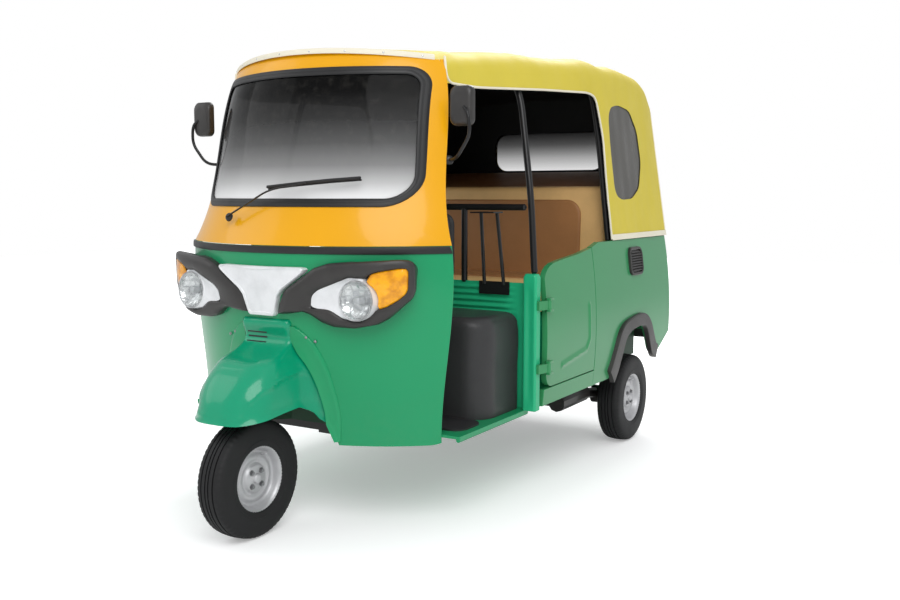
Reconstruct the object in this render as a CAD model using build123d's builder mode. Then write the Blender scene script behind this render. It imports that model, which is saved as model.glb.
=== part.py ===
"""Three-wheeled auto rickshaw with a steel body and a fabric hood, in millimetres.

x is to the vehicle's left, y is rearward and z is up. The origin is on the ground under the middle of the
vehicle. PLAN, SIDE and FACE are the three drawing planes. Their y = 0 is at the front axle, so a distance written
in a table is the distance behind the front axle.
"""

import os
from math import cos, radians, sin, sqrt, tan

from build123d import *

os.makedirs("parts", exist_ok=True)

# ---------------------------------------------------------------- whole vehicle
OVERALL_LENGTH = 2568.0
FRONT_OVERHANG = 203.0  # the front tyre reaches this far ahead of its axle
WHEELBASE = 1920.0
REAR_TRACK = 1180.0
SEAT_GAP = 0.3  # clearance between a piece and the skin it is fitted on
PANEL_GAP = 5.0  # shut line of doors and lids
SHEET = 3.0  # steel sheet

FRONT_AXLE_Y = FRONT_OVERHANG - OVERALL_LENGTH / 2
PLAN = Plane(origin=(0, FRONT_AXLE_Y, 0), x_dir=(1, 0, 0), z_dir=(0, 0, 1))
SIDE = Plane(origin=(0, FRONT_AXLE_Y, 0), x_dir=(0, 1, 0), z_dir=(1, 0, 0))
FACE = Plane(origin=(0, FRONT_AXLE_Y, 0), x_dir=(1, 0, 0), z_dir=(0, -1, 0))
REAR_END = OVERALL_LENGTH - FRONT_OVERHANG
ACROSS = 800.0  # half length of a cut that passes right across the vehicle
TUBE_FLATS = 10


def at(x, back, height):
    """A point from its place to the left, behind the front axle and above the ground."""
    return (x, FRONT_AXLE_Y + back, height)


# ------------------------------------------------------- wheels: 4.00-8 tyres on pressed steel rims
TYRE_RADIUS = 203.0
TYRE_WIDTH = 108.0
BEAD_RADIUS = 110.0
CROWN_HALF_WIDTH = 38.0
SHOULDER_DROP = 14.0
RIM_HALF_WIDTH = 43.0
RIM_DISC_RADIUS = 95.0
DISC_FACE = 14.0
HUB_RADIUS = 32.0
HUB_FACE = 36.0
DRUM_FACE = -36.0  # the brake drum fills the rim's inner side
AXLE_RADIUS = 15.0
RUNNING_CLEARANCE = 0.05
AXLE_HEIGHT = TYRE_RADIUS

# ---------------------------------------------------------------- front shell: plan arcs, low to high
# height, nose behind the axle, arc radius, back edge behind the axle
SHELL_LOWER = (
    (305.0, 140.0, 760.0, 365.0),
    (474.0, 128.0, 755.0, 365.0),
    (673.0, 105.0, 760.0, 365.0),
    (910.0, 72.0, 735.0, 365.0),
    (982.0, 68.0, 715.0, 365.0),
)
SHELL_UPPER = (
    (984.0, 69.0, 715.0, 366.0),
    (1107.0, 133.0, 690.0, 395.0),
    (1350.0, 195.0, 663.0, 443.0),
    (1620.0, 271.0, 600.0, 496.0),
)
BEHIND = 60.0  # the shell's solids run at least this far past its back edge before they are trimmed
FAN_ANGLE = 60  # half angle of the shell's plan arcs
FLAT_ANGLE = 10  # angle of one flat
FLANGE_WIDTH = 26.0  # inward return along the shell's back edge
BELT_HEIGHT = 25.0
BELT_PROUD = 6.0
SCREEN_BOTTOM = 1114.0
SCREEN_TOP = 1580.0
SCREEN_BOTTOM_HALF_WIDTH = 480.0
SCREEN_TOP_HALF_WIDTH = 455.0
SCREEN_BOTTOM_CORNER = 100.0
SCREEN_TOP_CORNER = 70.0
SEAL_WIDTH = 24.0
SEAL_PROUD = 5.0
GLASS_THICKNESS = 5.0

# ---------------------------------------------------------------- lamps on the nose
# outline of the left lamp bezel from the front: to the left, height
BEZEL_OUTLINE = (
    (82.0, 749.0), (90.0, 821.0), (162.0, 880.0), (240.0, 926.0), (343.0, 942.0), (497.0, 946.0),
    (507.0, 880.0), (506.0, 812.0), (464.0, 765.0), (387.0, 726.0), (333.0, 719.0), (262.0, 722.0),
    (190.0, 768.0), (111.0, 767.0),
)
HOUSING_OUTLINE = (
    (212.0, 783.0), (214.0, 836.0), (310.0, 883.0), (383.0, 886.0), (395.0, 776.0), (351.0, 746.0),
    (302.0, 748.0), (262.0, 780.0),
)
INDICATOR_OUTLINE = ((386.0, 886.0), (486.0, 910.0), (486.0, 818.0), (479.0, 800.0), (398.0, 776.0))
CENTRE_PANEL_OUTLINE = (
    (56.0, 746.0), (78.0, 823.0), (150.0, 883.0), (200.0, 912.0), (0.0, 905.0),
)
BEZEL_PROUD = 22.0
HOUSING_PROUD = 13.0
INDICATOR_PROUD = 20.0
CENTRE_PANEL_PROUD = 15.0
HEADLAMP_X = 352.0
HEADLAMP_HEIGHT = 816.0
HEADLAMP_RADIUS = 64.0
LENS_DOME = 16.0

# ---------------------------------------------------------------- front mudguard
# height, half width at the front, front edge behind the axle, corner radius
MUDGUARD_ROWS = (
    (385.0, 152.0, -170.0, 135.0),
    (440.0, 150.0, -161.0, 130.0),
    (500.0, 146.0, -139.0, 120.0),
    (540.0, 140.0, -111.0, 105.0),
    (575.0, 132.0, -74.0, 90.0),
    (605.0, 120.0, -36.0, 68.0),
    (628.0, 111.0, 35.0, 35.0),
    (648.0, 107.0, 74.0, 24.0),
    (722.0, 104.0, 84.0, 20.0),
)
MUDGUARD_FLARE = 0.09  # how its sides widen towards the shell
MUDGUARD_CORNER_ANGLES = (0, 30, 60, 90)
MUDGUARD_BACK = 260.0
MUDGUARD_SHEET = 4.0
MUDGUARD_LIP = (
    (-300.0, 425.0), (-150.0, 416.0), (-10.0, 438.0), (75.0, 447.0), (125.0, 425.0), (152.0, 385.0),
)
FLANGE_OUTLINE = (
    (250.0, 318.0), (253.0, 400.0), (236.0, 515.0), (208.0, 610.0), (178.0, 662.0), (126.0, 712.0),
)
WHEEL_OPENING = ((266.0, 250.0), (190.0, 430.0), (130.0, 652.0))
VENT_COUNT = 3
VENT_WIDTH = 84.0
VENT_HEIGHT = 6.0
VENT_PITCH = 17.0
VENT_X = -38.0
VENT_TOP = 686.0

# ---------------------------------------------------------------- steering
STEER_RAKE = 23.0
STEER_FOOT_Y = -20.0  # steering axis at axle height, behind the front axle
COLUMN_RADIUS = 19.0
HEAD_TUBE_WALL = 10.0
# distances along the steering axis from axle height
CROWN_LOW = 236.0
CROWN_HIGH = 276.0
HEAD_LOW = 545.0
HEAD_HIGH = 775.0
BAR_LEVEL = 885.0
BAR_RADIUS = 11.0
BAR_POINTS = ((80.0, 0.0), (170.0, 22.0), (300.0, 62.0))  # to each side, rearward
GRIP_RADIUS = 16.0
GRIP_LENGTH = 115.0
LEG_X = -95.0  # the fork is one-sided, on the right
LEG_WIDTH = 34.0
LINK_PIVOT_Y = 118.0
LINK_PIVOT_HEIGHT = 262.0
FRONT_SPRING_RADIUS = 24.0

STEER_SLOPE = tan(radians(STEER_RAKE))
STEER = Plane(
    origin=at(0, STEER_FOOT_Y, AXLE_HEIGHT),
    x_dir=(1, 0, 0),
    z_dir=(0, sin(radians(STEER_RAKE)), cos(radians(STEER_RAKE))),
)


def steer_back(height):
    """How far behind the front axle the steering axis is at a height."""
    return STEER_FOOT_Y + (height - AXLE_HEIGHT) * STEER_SLOPE


# ---------------------------------------------------------------- cabin
FLOOR_TOP = 340.0
FLOOR_THICKNESS = 10.0
FLOOR_FRONT = 368.0
SILL_HALF_WIDTH = 608.0
SILL_DEPTH = 40.0
PARTITION_Y = 880.0
PARTITION_TOP = 820.0
PARTITION_THICKNESS = 8.0
PILLAR_WIDTH = 56.0
PILLAR_DEPTH = 46.0
PILLAR_TOP = 858.0
RIB_COUNT = 5
DRIVER_SEAT_HALF_WIDTH = 570.0
DRIVER_SEAT_FRONT = 592.0
DRIVER_SEAT_TOP = 715.0
DRIVER_SEAT_CORNER = 95.0
POST_X = 325.0
POST_RADIUS = 12.0
RAIL_HEIGHT = 1105.0
TUBE_RADIUS = 11.0
BACKREST_HALF_WIDTH = 285.0
BACKREST_LOW = 810.0
BACKREST_HIGH = 1080.0

# ---------------------------------------------------------------- passenger space and tail
# body side seen from the front: half width, height
SIDE_SECTION = ((641.0, 955.0), (671.0, 650.0), (656.0, 345.0))
SIDE_THICKNESS = 22.0
SIDE_FRONT = 905.0
SIDE_REAR_TOP = 2317.0
SIDE_REAR_LOW = 2338.0
TAIL_LOW = 475.0
BELT_TOP = 952.0
ROCKER_TOP = 415.0
ROCKER_LOW = 350.0
DOOR_FRONT = 912.0
DOOR_REAR = 1385.0
DOOR_LOW = 420.0
DOOR_FRONT_TOP = 847.0
DOOR_REAR_TOP = 932.0
DOOR_CORNER = 60.0
ARCH_OUTLINE = (
    (1578.0, 300.0), (1584.0, 362.0), (1687.0, 538.0), (1800.0, 558.0), (1915.0, 566.0), (1985.0, 545.0),
    (2098.0, 395.0), (2105.0, 300.0),
)
ARCH_TRIM_WIDTH = 45.0
ARCH_TRIM_PROUD = 18.0
HINGE_X = 680.0
HINGE_BACK = 909.0
HINGE_HEIGHTS = (500.0, 740.0)
HINGE_PIN_RADIUS = 5.0
HINGE_KNUCKLE_RADIUS = 9.0
HINGE_KNUCKLE_LENGTH = 34.0
VENT_FRONT = 1790.0
VENT_REAR = 1950.0
VENT_LOW = 787.0
VENT_HIGH = 915.0
SLAT_COUNT = 5
WING_X = 500.0  # inner face of the rear wheel boxes
WING_FRONT = 1560.0
SEAT_FRONT_Y = 1375.0
SEAT_BASE_TOP = 655.0
CUSHION_THICKNESS = 145.0
CUSHION_HALF_WIDTH = 490.0
SEAT_BACK_Y = 1800.0
BACKREST_TOP = 1190.0
LID_HALF_WIDTH = 430.0
LID_LOW = 505.0
LID_HIGH = 865.0
LID_HINGE_X = 300.0
LID_HINGE_RADIUS = 7.0
LID_HINGE_PROUD = 9.0
LID_PIN_RADIUS = 4.0
LID_KNUCKLE = 34.0

# ---------------------------------------------------------------- hood
# behind the axle, half width at HOOD_LOW, half width at the top corner, height of the top corner
HOOD_ROWS = (
    (240.0, 520.0, 447.0, 1628.0),
    (655.0, 565.0, 490.0, 1672.0),
    (1100.0, 615.0, 550.0, 1700.0),
    (1500.0, 638.0, 584.0, 1724.0),
    (1980.0, 645.0, 582.0, 1730.0),
    (2170.0, 646.0, 570.0, 1712.0),
    (2322.0, 646.0, 545.0, 1640.0),
)
HOOD_LOW = 957.0
HOOD_CROWN = 28.0
HOOD_CORNER = 85.0
HOOD_SIDE_SLOPE = 0.1
HOOD_OPEN_FRONT = 3
HOOD_THICKNESS = 9.0
# the hood's lower edge and front hoop seen from the side
HOOD_EDGE = (
    (495.0, 1624.0), (520.0, 1540.0), (655.0, 1530.0), (1455.0, 1579.0), (1545.0, 1520.0), (1580.0, 1387.0),
    (1618.0, 937.0),
)
SIDE_WINDOW = (
    (1650.0, 1525.0), (1760.0, 1548.0), (1900.0, 1535.0), (2010.0, 1450.0), (2045.0, 1300.0),
    (2005.0, 1190.0), (1900.0, 1135.0), (1760.0, 1130.0), (1690.0, 1160.0),
)
REAR_WINDOW_HALF_WIDTH = 310.0
REAR_WINDOW_LOW = 1280.0
REAR_WINDOW_HIGH = 1470.0


def tube(points, radius):
    """A bar of ten flats along straight runs that meet in mitres."""
    start = Vector(*points[0])
    run = Vector(*points[1]) - start
    with BuildPart() as bar:
        with BuildLine() as path:
            Polyline(*points)
        with BuildSketch(Plane(origin=start, z_dir=run.normalized())):
            RegularPolygon(radius, TUBE_FLATS)
        sweep(path=path.wire(), transition=Transition.RIGHT)
    return bar.part


def flat_loft(sections):
    """Solid between polygons with equal numbers of corners, its sides made of flat triangles."""
    faces = [Face(Wire.make_polygon(section, close=True)) for section in (sections[0], sections[-1])]
    for low, high in zip(sections, sections[1:]):
        for index in range(len(low)):
            after = (index + 1) % len(low)
            for corners in ((low[index], low[after], high[after]), (low[index], high[after], high[index])):
                faces.append(Face(Wire.make_polygon(corners, close=True)))
    return Solid(Shell(faces))


def mirrored(points):
    """The same points on the other side of the vehicle."""
    return [(-x, y, z) for x, y, z in points]


# ---------------------------------------------------------------- wheels
def wheel_plane(x, back):
    """Plane through a wheel's centre: x along the axle, y up."""
    return Plane(origin=at(x, back, AXLE_HEIGHT), x_dir=(1, 0, 0), z_dir=(0, -1, 0))


def turned(plane, section, label):
    """A ring turned about a wheel's axle from a section of points along the axle and out from it."""
    with BuildPart() as part:
        with BuildSketch(plane):
            with BuildLine():
                Polyline(*section, close=True)
            make_face()
        revolve(axis=Axis(plane.origin, (1, 0, 0)))
    part.part.label = label
    return part.part


# along the axle, radius
TYRE_HALF = (
    (TYRE_WIDTH / 2, BEAD_RADIUS),
    (TYRE_WIDTH / 2, TYRE_RADIUS - SHOULDER_DROP),
    (CROWN_HALF_WIDTH, TYRE_RADIUS),
)
TYRE_SECTION = TYRE_HALF + tuple((-x, r) for x, r in reversed(TYRE_HALF))
# along the axle towards the outer face, radius
RIM_SECTION = (
    (DRUM_FACE, BEAD_RADIUS - SEAT_GAP),
    (RIM_HALF_WIDTH, BEAD_RADIUS - SEAT_GAP),
    (RIM_HALF_WIDTH, RIM_DISC_RADIUS),
    (DISC_FACE, RIM_DISC_RADIUS),
    (DISC_FACE, HUB_RADIUS),
    (HUB_FACE, HUB_RADIUS),
    (HUB_FACE, AXLE_RADIUS + RUNNING_CLEARANCE),
    (DRUM_FACE, AXLE_RADIUS + RUNNING_CLEARANCE),
)
# wheel, place to the left, place behind the front axle, side its disc faces
WHEELS = (
    ("front", 0.0, 0.0, 1),
    ("rear_left", REAR_TRACK / 2, WHEELBASE, 1),
    ("rear_right", -REAR_TRACK / 2, WHEELBASE, -1),
)
for wheel_name, wheel_x, wheel_back, outward in WHEELS:
    plane = wheel_plane(wheel_x, wheel_back)
    rim_section = [(outward * x, r) for x, r in RIM_SECTION]
    export_step(turned(plane, TYRE_SECTION, wheel_name + "_tyre"), "parts/" + wheel_name + "_tyre.step")
    export_step(turned(plane, rim_section, wheel_name + "_rim"), "parts/" + wheel_name + "_rim.step")


# ---------------------------------------------------------------- front shell
def shell_bulk(rows, grow):
    """Solid behind the front skin: one plan arc in flats for each height, closed behind the back edge."""
    angles = [radians(angle) for angle in range(-FAN_ANGLE, FAN_ANGLE + 1, FLAT_ANGLE)]
    return flat_loft([
        [at((radius + grow) * sin(a), nose + radius - (radius + grow) * cos(a), height) for a in angles]
        for height, nose, radius, back in rows
    ])


def behind_edge(rows, inset):
    """Everything further back than the shell's back edge less an inset."""
    low, high = rows[0], rows[-1]
    with BuildPart() as block:
        with BuildSketch(SIDE):
            with BuildLine():
                Polyline(
                    (low[3] - inset, low[0] - 1), (high[3] - inset, high[0] + 1),
                    (high[3] + 3 * BEHIND, high[0] + 1), (low[3] + 3 * BEHIND, low[0] - 1), close=True,
                )
            make_face()
        extrude(amount=ACROSS, both=True)
    return block.part


def shell_slab(rows, low, high):
    """The layer between two offsets of the front skin, ending at the back edge."""
    with BuildPart() as slab:
        add(shell_bulk(rows, high))
        add(shell_bulk(rows, low), mode=Mode.SUBTRACT)
        add(behind_edge(rows, 0), mode=Mode.SUBTRACT)
    return slab.part


def on_nose(outlines, low, high):
    """A plate fitted on the lower front skin, cut to outlines seen from the front on both sides."""
    layer = shell_slab(SHELL_LOWER, low, high)
    with BuildPart() as plate:
        with BuildSketch(FACE):
            for outline in outlines:
                for side in (1, -1):
                    with BuildLine():
                        Polyline(*[(side * x, z) for x, z in outline], close=True)
                    make_face()
        extrude(amount=-SHELL_LOWER[0][3], both=False)
        add(layer, mode=Mode.INTERSECT)
    return plate.part


def skin(rows):
    """A sheet skin with an inward return flange along its back edge."""
    with BuildPart() as hollow:
        add(shell_bulk(rows, -SHEET))
        add(behind_edge(rows, SHEET), mode=Mode.SUBTRACT)
    with BuildPart() as shell:
        add(shell_bulk(rows, 0))
        add(behind_edge(rows, 0), mode=Mode.SUBTRACT)
        add(hollow.part, mode=Mode.SUBTRACT)
        add(shell_bulk(rows, -FLANGE_WIDTH), mode=Mode.SUBTRACT)
    return shell.part


with BuildPart() as front_panel:
    add(skin(SHELL_LOWER))
    with BuildSketch(FACE):
        with BuildLine():
            Polyline(*WHEEL_OPENING, *[(-x, z) for x, z in reversed(WHEEL_OPENING)], close=True)
        make_face()
    extrude(amount=-SHELL_LOWER[0][3] + 2 * SHEET, mode=Mode.SUBTRACT)
front_panel.part.label = "front_panel"
export_step(front_panel.part, "parts/front_panel.step")


def screen_outline(inset):
    """Windscreen outline from the front, drawn into the current sketch."""
    corners = (
        (-SCREEN_BOTTOM_HALF_WIDTH, SCREEN_BOTTOM), (SCREEN_BOTTOM_HALF_WIDTH, SCREEN_BOTTOM),
        (SCREEN_TOP_HALF_WIDTH, SCREEN_TOP), (-SCREEN_TOP_HALF_WIDTH, SCREEN_TOP),
    )
    with BuildSketch(FACE) as outline:
        with BuildLine():
            Polyline(*corners, close=True)
        make_face()
        fillet(outline.vertices().group_by(Axis.Y)[0], SCREEN_BOTTOM_CORNER)
        fillet(outline.vertices().group_by(Axis.Y)[-1], SCREEN_TOP_CORNER)
        if inset:
            offset(amount=-inset, mode=Mode.REPLACE)
    return outline.sketch


screen_hole = screen_outline(0)
screen_pane = screen_outline(SEAL_WIDTH)
with BuildPart() as windscreen_surround:
    add(skin(SHELL_UPPER))
    extrude(screen_hole, amount=-SHELL_UPPER[-1][3], mode=Mode.SUBTRACT)
windscreen_surround.part.label = "windscreen_surround"
export_step(windscreen_surround.part, "parts/windscreen_surround.step")

upper_seal_slab = shell_slab(SHELL_UPPER, -SHEET - GLASS_THICKNESS, SEAL_PROUD)
with BuildPart() as windscreen_seal:
    extrude(screen_outline(SEAT_GAP), amount=-SHELL_UPPER[-1][3])
    extrude(screen_pane, amount=-SHELL_UPPER[-1][3], mode=Mode.SUBTRACT)
    add(upper_seal_slab, mode=Mode.INTERSECT)
windscreen_seal.part.label = "windscreen_seal"
export_step(windscreen_seal.part, "parts/windscreen_seal.step")

with BuildPart() as windscreen_glass:
    extrude(screen_outline(SEAL_WIDTH + SEAT_GAP), amount=-SHELL_UPPER[-1][3])
    add(shell_slab(SHELL_UPPER, -SHEET - GLASS_THICKNESS, -SHEET), mode=Mode.INTERSECT)
windscreen_glass.part.label = "windscreen_glass"
export_step(windscreen_glass.part, "parts/windscreen_glass.step")

# the belt strip is the top of the lower skin's layer
with BuildPart() as belt_strip:
    add(shell_slab(SHELL_LOWER, SEAT_GAP, BELT_PROUD))
    with BuildSketch(PLAN.offset(SHELL_LOWER[0][0])):
        Rectangle(2 * ACROSS, 2 * ACROSS)
    extrude(amount=SHELL_LOWER[-1][0] - BELT_HEIGHT - SHELL_LOWER[0][0], mode=Mode.SUBTRACT)
belt_strip.part.label = "belt_strip"
export_step(belt_strip.part, "parts/belt_strip.step")

# ---------------------------------------------------------------- lamps on the nose
lens_centres = [(side * HEADLAMP_X, HEADLAMP_HEIGHT) for side in (1, -1)]
with BuildPart() as lamp_bezel:
    add(on_nose([BEZEL_OUTLINE], SEAT_GAP, BEZEL_PROUD))
    with BuildSketch(FACE):
        for outline in (HOUSING_OUTLINE, INDICATOR_OUTLINE):
            for side in (1, -1):
                with BuildLine():
                    Polyline(*[(side * x, z) for x, z in outline], close=True)
                make_face()
        offset(amount=SEAT_GAP, kind=Kind.INTERSECTION)
        with Locations(*lens_centres):
            Circle(HEADLAMP_RADIUS + SEAT_GAP)
    extrude(amount=-SHELL_LOWER[0][3], mode=Mode.SUBTRACT)
lamp_bezel.part.label = "lamp_bezel"
export_step(lamp_bezel.part, "parts/lamp_bezel.step")

with BuildPart() as headlamp_housings:
    add(on_nose([HOUSING_OUTLINE], SEAT_GAP, HOUSING_PROUD))
    with BuildSketch(FACE):
        with Locations(*lens_centres):
            Circle(HEADLAMP_RADIUS + SEAT_GAP)
    extrude(amount=-SHELL_LOWER[0][3], mode=Mode.SUBTRACT)
headlamp_housings.part.label = "headlamp_housings"
export_step(headlamp_housings.part, "parts/headlamp_housings.step")

with BuildPart() as headlamp_lenses:
    with BuildSketch(FACE):
        with Locations(*lens_centres):
            Circle(HEADLAMP_RADIUS)
    extrude(amount=-SHELL_LOWER[0][3])
    add(shell_slab(SHELL_LOWER, SEAT_GAP, BEZEL_PROUD + LENS_DOME), mode=Mode.INTERSECT)
headlamp_lenses.part.label = "headlamp_lenses"
export_step(headlamp_lenses.part, "parts/headlamp_lenses.step")

with BuildPart() as indicators:
    add(on_nose([INDICATOR_OUTLINE], SEAT_GAP, INDICATOR_PROUD))
    with BuildSketch(FACE):
        with Locations(*lens_centres):
            Circle(HEADLAMP_RADIUS + SEAT_GAP)
    extrude(amount=-SHELL_LOWER[0][3], mode=Mode.SUBTRACT)
indicators.part.label = "indicators"
export_step(indicators.part, "parts/indicators.step")

with BuildPart() as lamp_centre_panel:
    add(on_nose([CENTRE_PANEL_OUTLINE + ((0.0, 746.0),)], SEAT_GAP, CENTRE_PANEL_PROUD))
lamp_centre_panel.part.label = "lamp_centre_panel"
export_step(lamp_centre_panel.part, "parts/lamp_centre_panel.step")


# ---------------------------------------------------------------- front mudguard
def mudguard_bulk(grow):
    """Bell over the front wheel: plan sections with rounded front corners that swell down and forwards."""
    sections = []
    for height, half, front, corner in MUDGUARD_ROWS:
        reach = corner + grow
        side_points = [(half + grow + MUDGUARD_FLARE * (MUDGUARD_BACK - front - corner), MUDGUARD_BACK)] + [
            (half - corner + reach * cos(radians(angle)), front + corner - reach * sin(radians(angle)))
            for angle in MUDGUARD_CORNER_ANGLES
        ]
        outline = side_points + [(-x, back) for x, back in reversed(side_points)]
        sections.append([at(x, back, height) for x, back in outline])
    return flat_loft(sections)


with BuildPart() as mudguard_flange:
    with BuildSketch(FACE):
        with BuildLine():
            Polyline(*FLANGE_OUTLINE, *[(-x, z) for x, z in reversed(FLANGE_OUTLINE)], close=True)
        make_face()
        with BuildLine():
            Polyline(*WHEEL_OPENING, *[(-x, z) for x, z in reversed(WHEEL_OPENING)], close=True)
        make_face(mode=Mode.SUBTRACT)
    extrude(amount=-SHELL_LOWER[0][3])
    add(shell_slab(SHELL_LOWER, SEAT_GAP, SEAT_GAP + MUDGUARD_SHEET), mode=Mode.INTERSECT)

with BuildPart() as front_mudguard:
    add(mudguard_bulk(0))
    with BuildSketch(SIDE):
        with BuildLine():
            Polyline(*MUDGUARD_LIP, (MUDGUARD_LIP[-1][0], 200.0), (MUDGUARD_LIP[0][0], 200.0), close=True)
        make_face()
    extrude(amount=ACROSS, both=True, mode=Mode.SUBTRACT)
    add(shell_bulk(SHELL_LOWER, SEAT_GAP), mode=Mode.SUBTRACT)
    add(mudguard_flange.part)
    add(mudguard_bulk(-MUDGUARD_SHEET), mode=Mode.SUBTRACT)
    with BuildSketch(FACE.offset(-MUDGUARD_ROWS[-1][2])):
        with Locations(*[(VENT_X, VENT_TOP - i * VENT_PITCH) for i in range(VENT_COUNT)]):
            Rectangle(VENT_WIDTH, VENT_HEIGHT)
    extrude(amount=3 * MUDGUARD_SHEET, both=True, mode=Mode.SUBTRACT)
front_mudguard.part.label = "front_mudguard"
export_step(front_mudguard.part, "parts/front_mudguard.step")


# ---------------------------------------------------------------- wheel housing behind the front wheel
# height, half width, front edge, back face, corner
HOUSING_ROWS = (
    (312.0, 262.0, 215.0, 386.0, 120.0),
    (480.0, 178.0, 165.0, 322.0, 100.0),
    (655.0, 124.0, 122.0, 252.0, 80.0),
)
COLUMN_HOLE_RADIUS = COLUMN_RADIUS + 8.0


def housing_bulk(grow):
    """Tapering hood behind the front wheel, with its back corners cut off."""
    sections = []
    for height, half, front, back, corner in HOUSING_ROWS:
        outline = (
            (-half - grow, front), (-half - grow, back - corner), (corner - half - grow, back + grow),
            (half + grow - corner, back + grow), (half + grow, back - corner), (half + grow, front),
        )
        sections.append([at(x, y, height) for x, y in outline])
    return flat_loft(sections)


with BuildPart() as wheel_housing:
    add(housing_bulk(0))
    with BuildPart(mode=Mode.PRIVATE) as housing_inside:
        add(housing_bulk(-SHEET))
        with BuildSketch(PLAN.offset(HOUSING_ROWS[-1][0] - SHEET)):
            Rectangle(2 * ACROSS, 2 * ACROSS)
        extrude(amount=2 * SHEET, mode=Mode.SUBTRACT)
    add(housing_inside.part, mode=Mode.SUBTRACT)
    with BuildSketch(PLAN.offset(HOUSING_ROWS[-1][0] - SHEET)):
        with Locations((0, steer_back(HOUSING_ROWS[-1][0]))):
            Circle(COLUMN_HOLE_RADIUS + 4.0)
    extrude(amount=SHEET, mode=Mode.SUBTRACT)
wheel_housing.part.label = "wheel_housing"
export_step(wheel_housing.part, "parts/wheel_housing.step")

# ---------------------------------------------------------------- chassis
RAIL_X = 320.0
RAIL_WIDTH = 40.0
RAIL_LOW = 268.0
RAIL_HIGH = FLOOR_TOP - FLOOR_THICKNESS - SEAT_GAP
RAIL_FRONT = 440.0
RAIL_REAR = 2240.0
CROSS_MEMBERS = (460.0, 900.0, 1400.0, 2220.0)
SPINE_FRONT = 410.0
SPINE_REAR = 480.0
SPINE_HALF_WIDTH = 30.0
SPINE_TOP = 760.0
HEAD_TUBE_RADIUS = COLUMN_RADIUS + HEAD_TUBE_WALL
ARM_PIVOT_BACK = 1450.0
ARM_PIVOT_HEIGHT = 262.0
PIVOT_TUBE_RADIUS = 24.0
PIVOT_TUBE_HALF = 445.0
JACK_PAD_BACK = 1180.0
JACK_PAD_SIZE = 70.0
JACK_PAD_THICKNESS = 8.0
with BuildPart() as chassis_frame:
    for side in (1, -1):
        with BuildSketch(PLAN.offset(RAIL_LOW)):
            with Locations((side * RAIL_X, (RAIL_FRONT + RAIL_REAR) / 2)):
                Rectangle(RAIL_WIDTH, RAIL_REAR - RAIL_FRONT)
            with Locations(*[(0, back) for back in CROSS_MEMBERS]):
                Rectangle(2 * RAIL_X, RAIL_WIDTH)
        extrude(amount=RAIL_HIGH - RAIL_LOW)
    with BuildSketch(SIDE):
        with BuildLine():
            Polyline(
                (SPINE_FRONT, RAIL_LOW), (SPINE_REAR, RAIL_LOW), (SPINE_REAR, RAIL_HIGH),
                (steer_back(SPINE_TOP) + 62, SPINE_TOP), (steer_back(SPINE_TOP) + 18, SPINE_TOP),
                (steer_back(SPINE_TOP - 40) + 42, SPINE_TOP - 40), (SPINE_FRONT, RAIL_HIGH + 40), close=True,
            )
        make_face()
    extrude(amount=SPINE_HALF_WIDTH, both=True)
    with BuildSketch(STEER.offset(HEAD_LOW)):
        Circle(HEAD_TUBE_RADIUS)
    extrude(amount=HEAD_HIGH - HEAD_LOW)
    with BuildSketch(STEER.offset(HEAD_LOW - 100)):
        Circle(COLUMN_RADIUS + RUNNING_CLEARANCE)
    extrude(amount=HEAD_HIGH - HEAD_LOW + 200, mode=Mode.SUBTRACT)
    with BuildSketch(PLAN.offset(RAIL_LOW)):
        with Locations(*[(side * RAIL_X, JACK_PAD_BACK) for side in (1, -1)]):
            Rectangle(JACK_PAD_SIZE, JACK_PAD_SIZE)
    extrude(amount=-JACK_PAD_THICKNESS)
    with BuildSketch(SIDE):
        with Locations((ARM_PIVOT_BACK, ARM_PIVOT_HEIGHT)):
            Circle(PIVOT_TUBE_RADIUS)
    extrude(amount=PIVOT_TUBE_HALF, both=True)
chassis_frame.part.label = "chassis_frame"
export_step(chassis_frame.part, "parts/chassis_frame.step")

# ---------------------------------------------------------------- steering
LINK_WIDTH = 18.0
with BuildPart() as steering_column:
    with BuildSketch(STEER.offset(CROWN_LOW)):
        Circle(COLUMN_RADIUS)
    extrude(amount=BAR_LEVEL - CROWN_LOW)
    with BuildSketch(STEER.offset(CROWN_LOW)):
        Circle(32)
        with BuildLine():
            leg_inner = LEG_X - LEG_WIDTH / 2
            Polyline((0, -30), (0, 30), (leg_inner, 36), (leg_inner, -36), close=True)
        make_face()
    extrude(amount=CROWN_HIGH - CROWN_LOW)
    with BuildSketch(SIDE.offset(LEG_X - LEG_WIDTH / 2)):
        with BuildLine():
            Polyline(
                (steer_back(440) + 2, 440), (steer_back(440) + 38, 432),
                (LINK_PIVOT_Y + 22, LINK_PIVOT_HEIGHT + 10),
                (LINK_PIVOT_Y + 18, LINK_PIVOT_HEIGHT - 18), (LINK_PIVOT_Y - 18, LINK_PIVOT_HEIGHT - 18),
                (LINK_PIVOT_Y - 22, LINK_PIVOT_HEIGHT + 30), close=True,
            )
        make_face()
    extrude(amount=LEG_WIDTH)
steering_column.part.label = "steering_column"
export_step(steering_column.part, "parts/steering_column.step")

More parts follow.
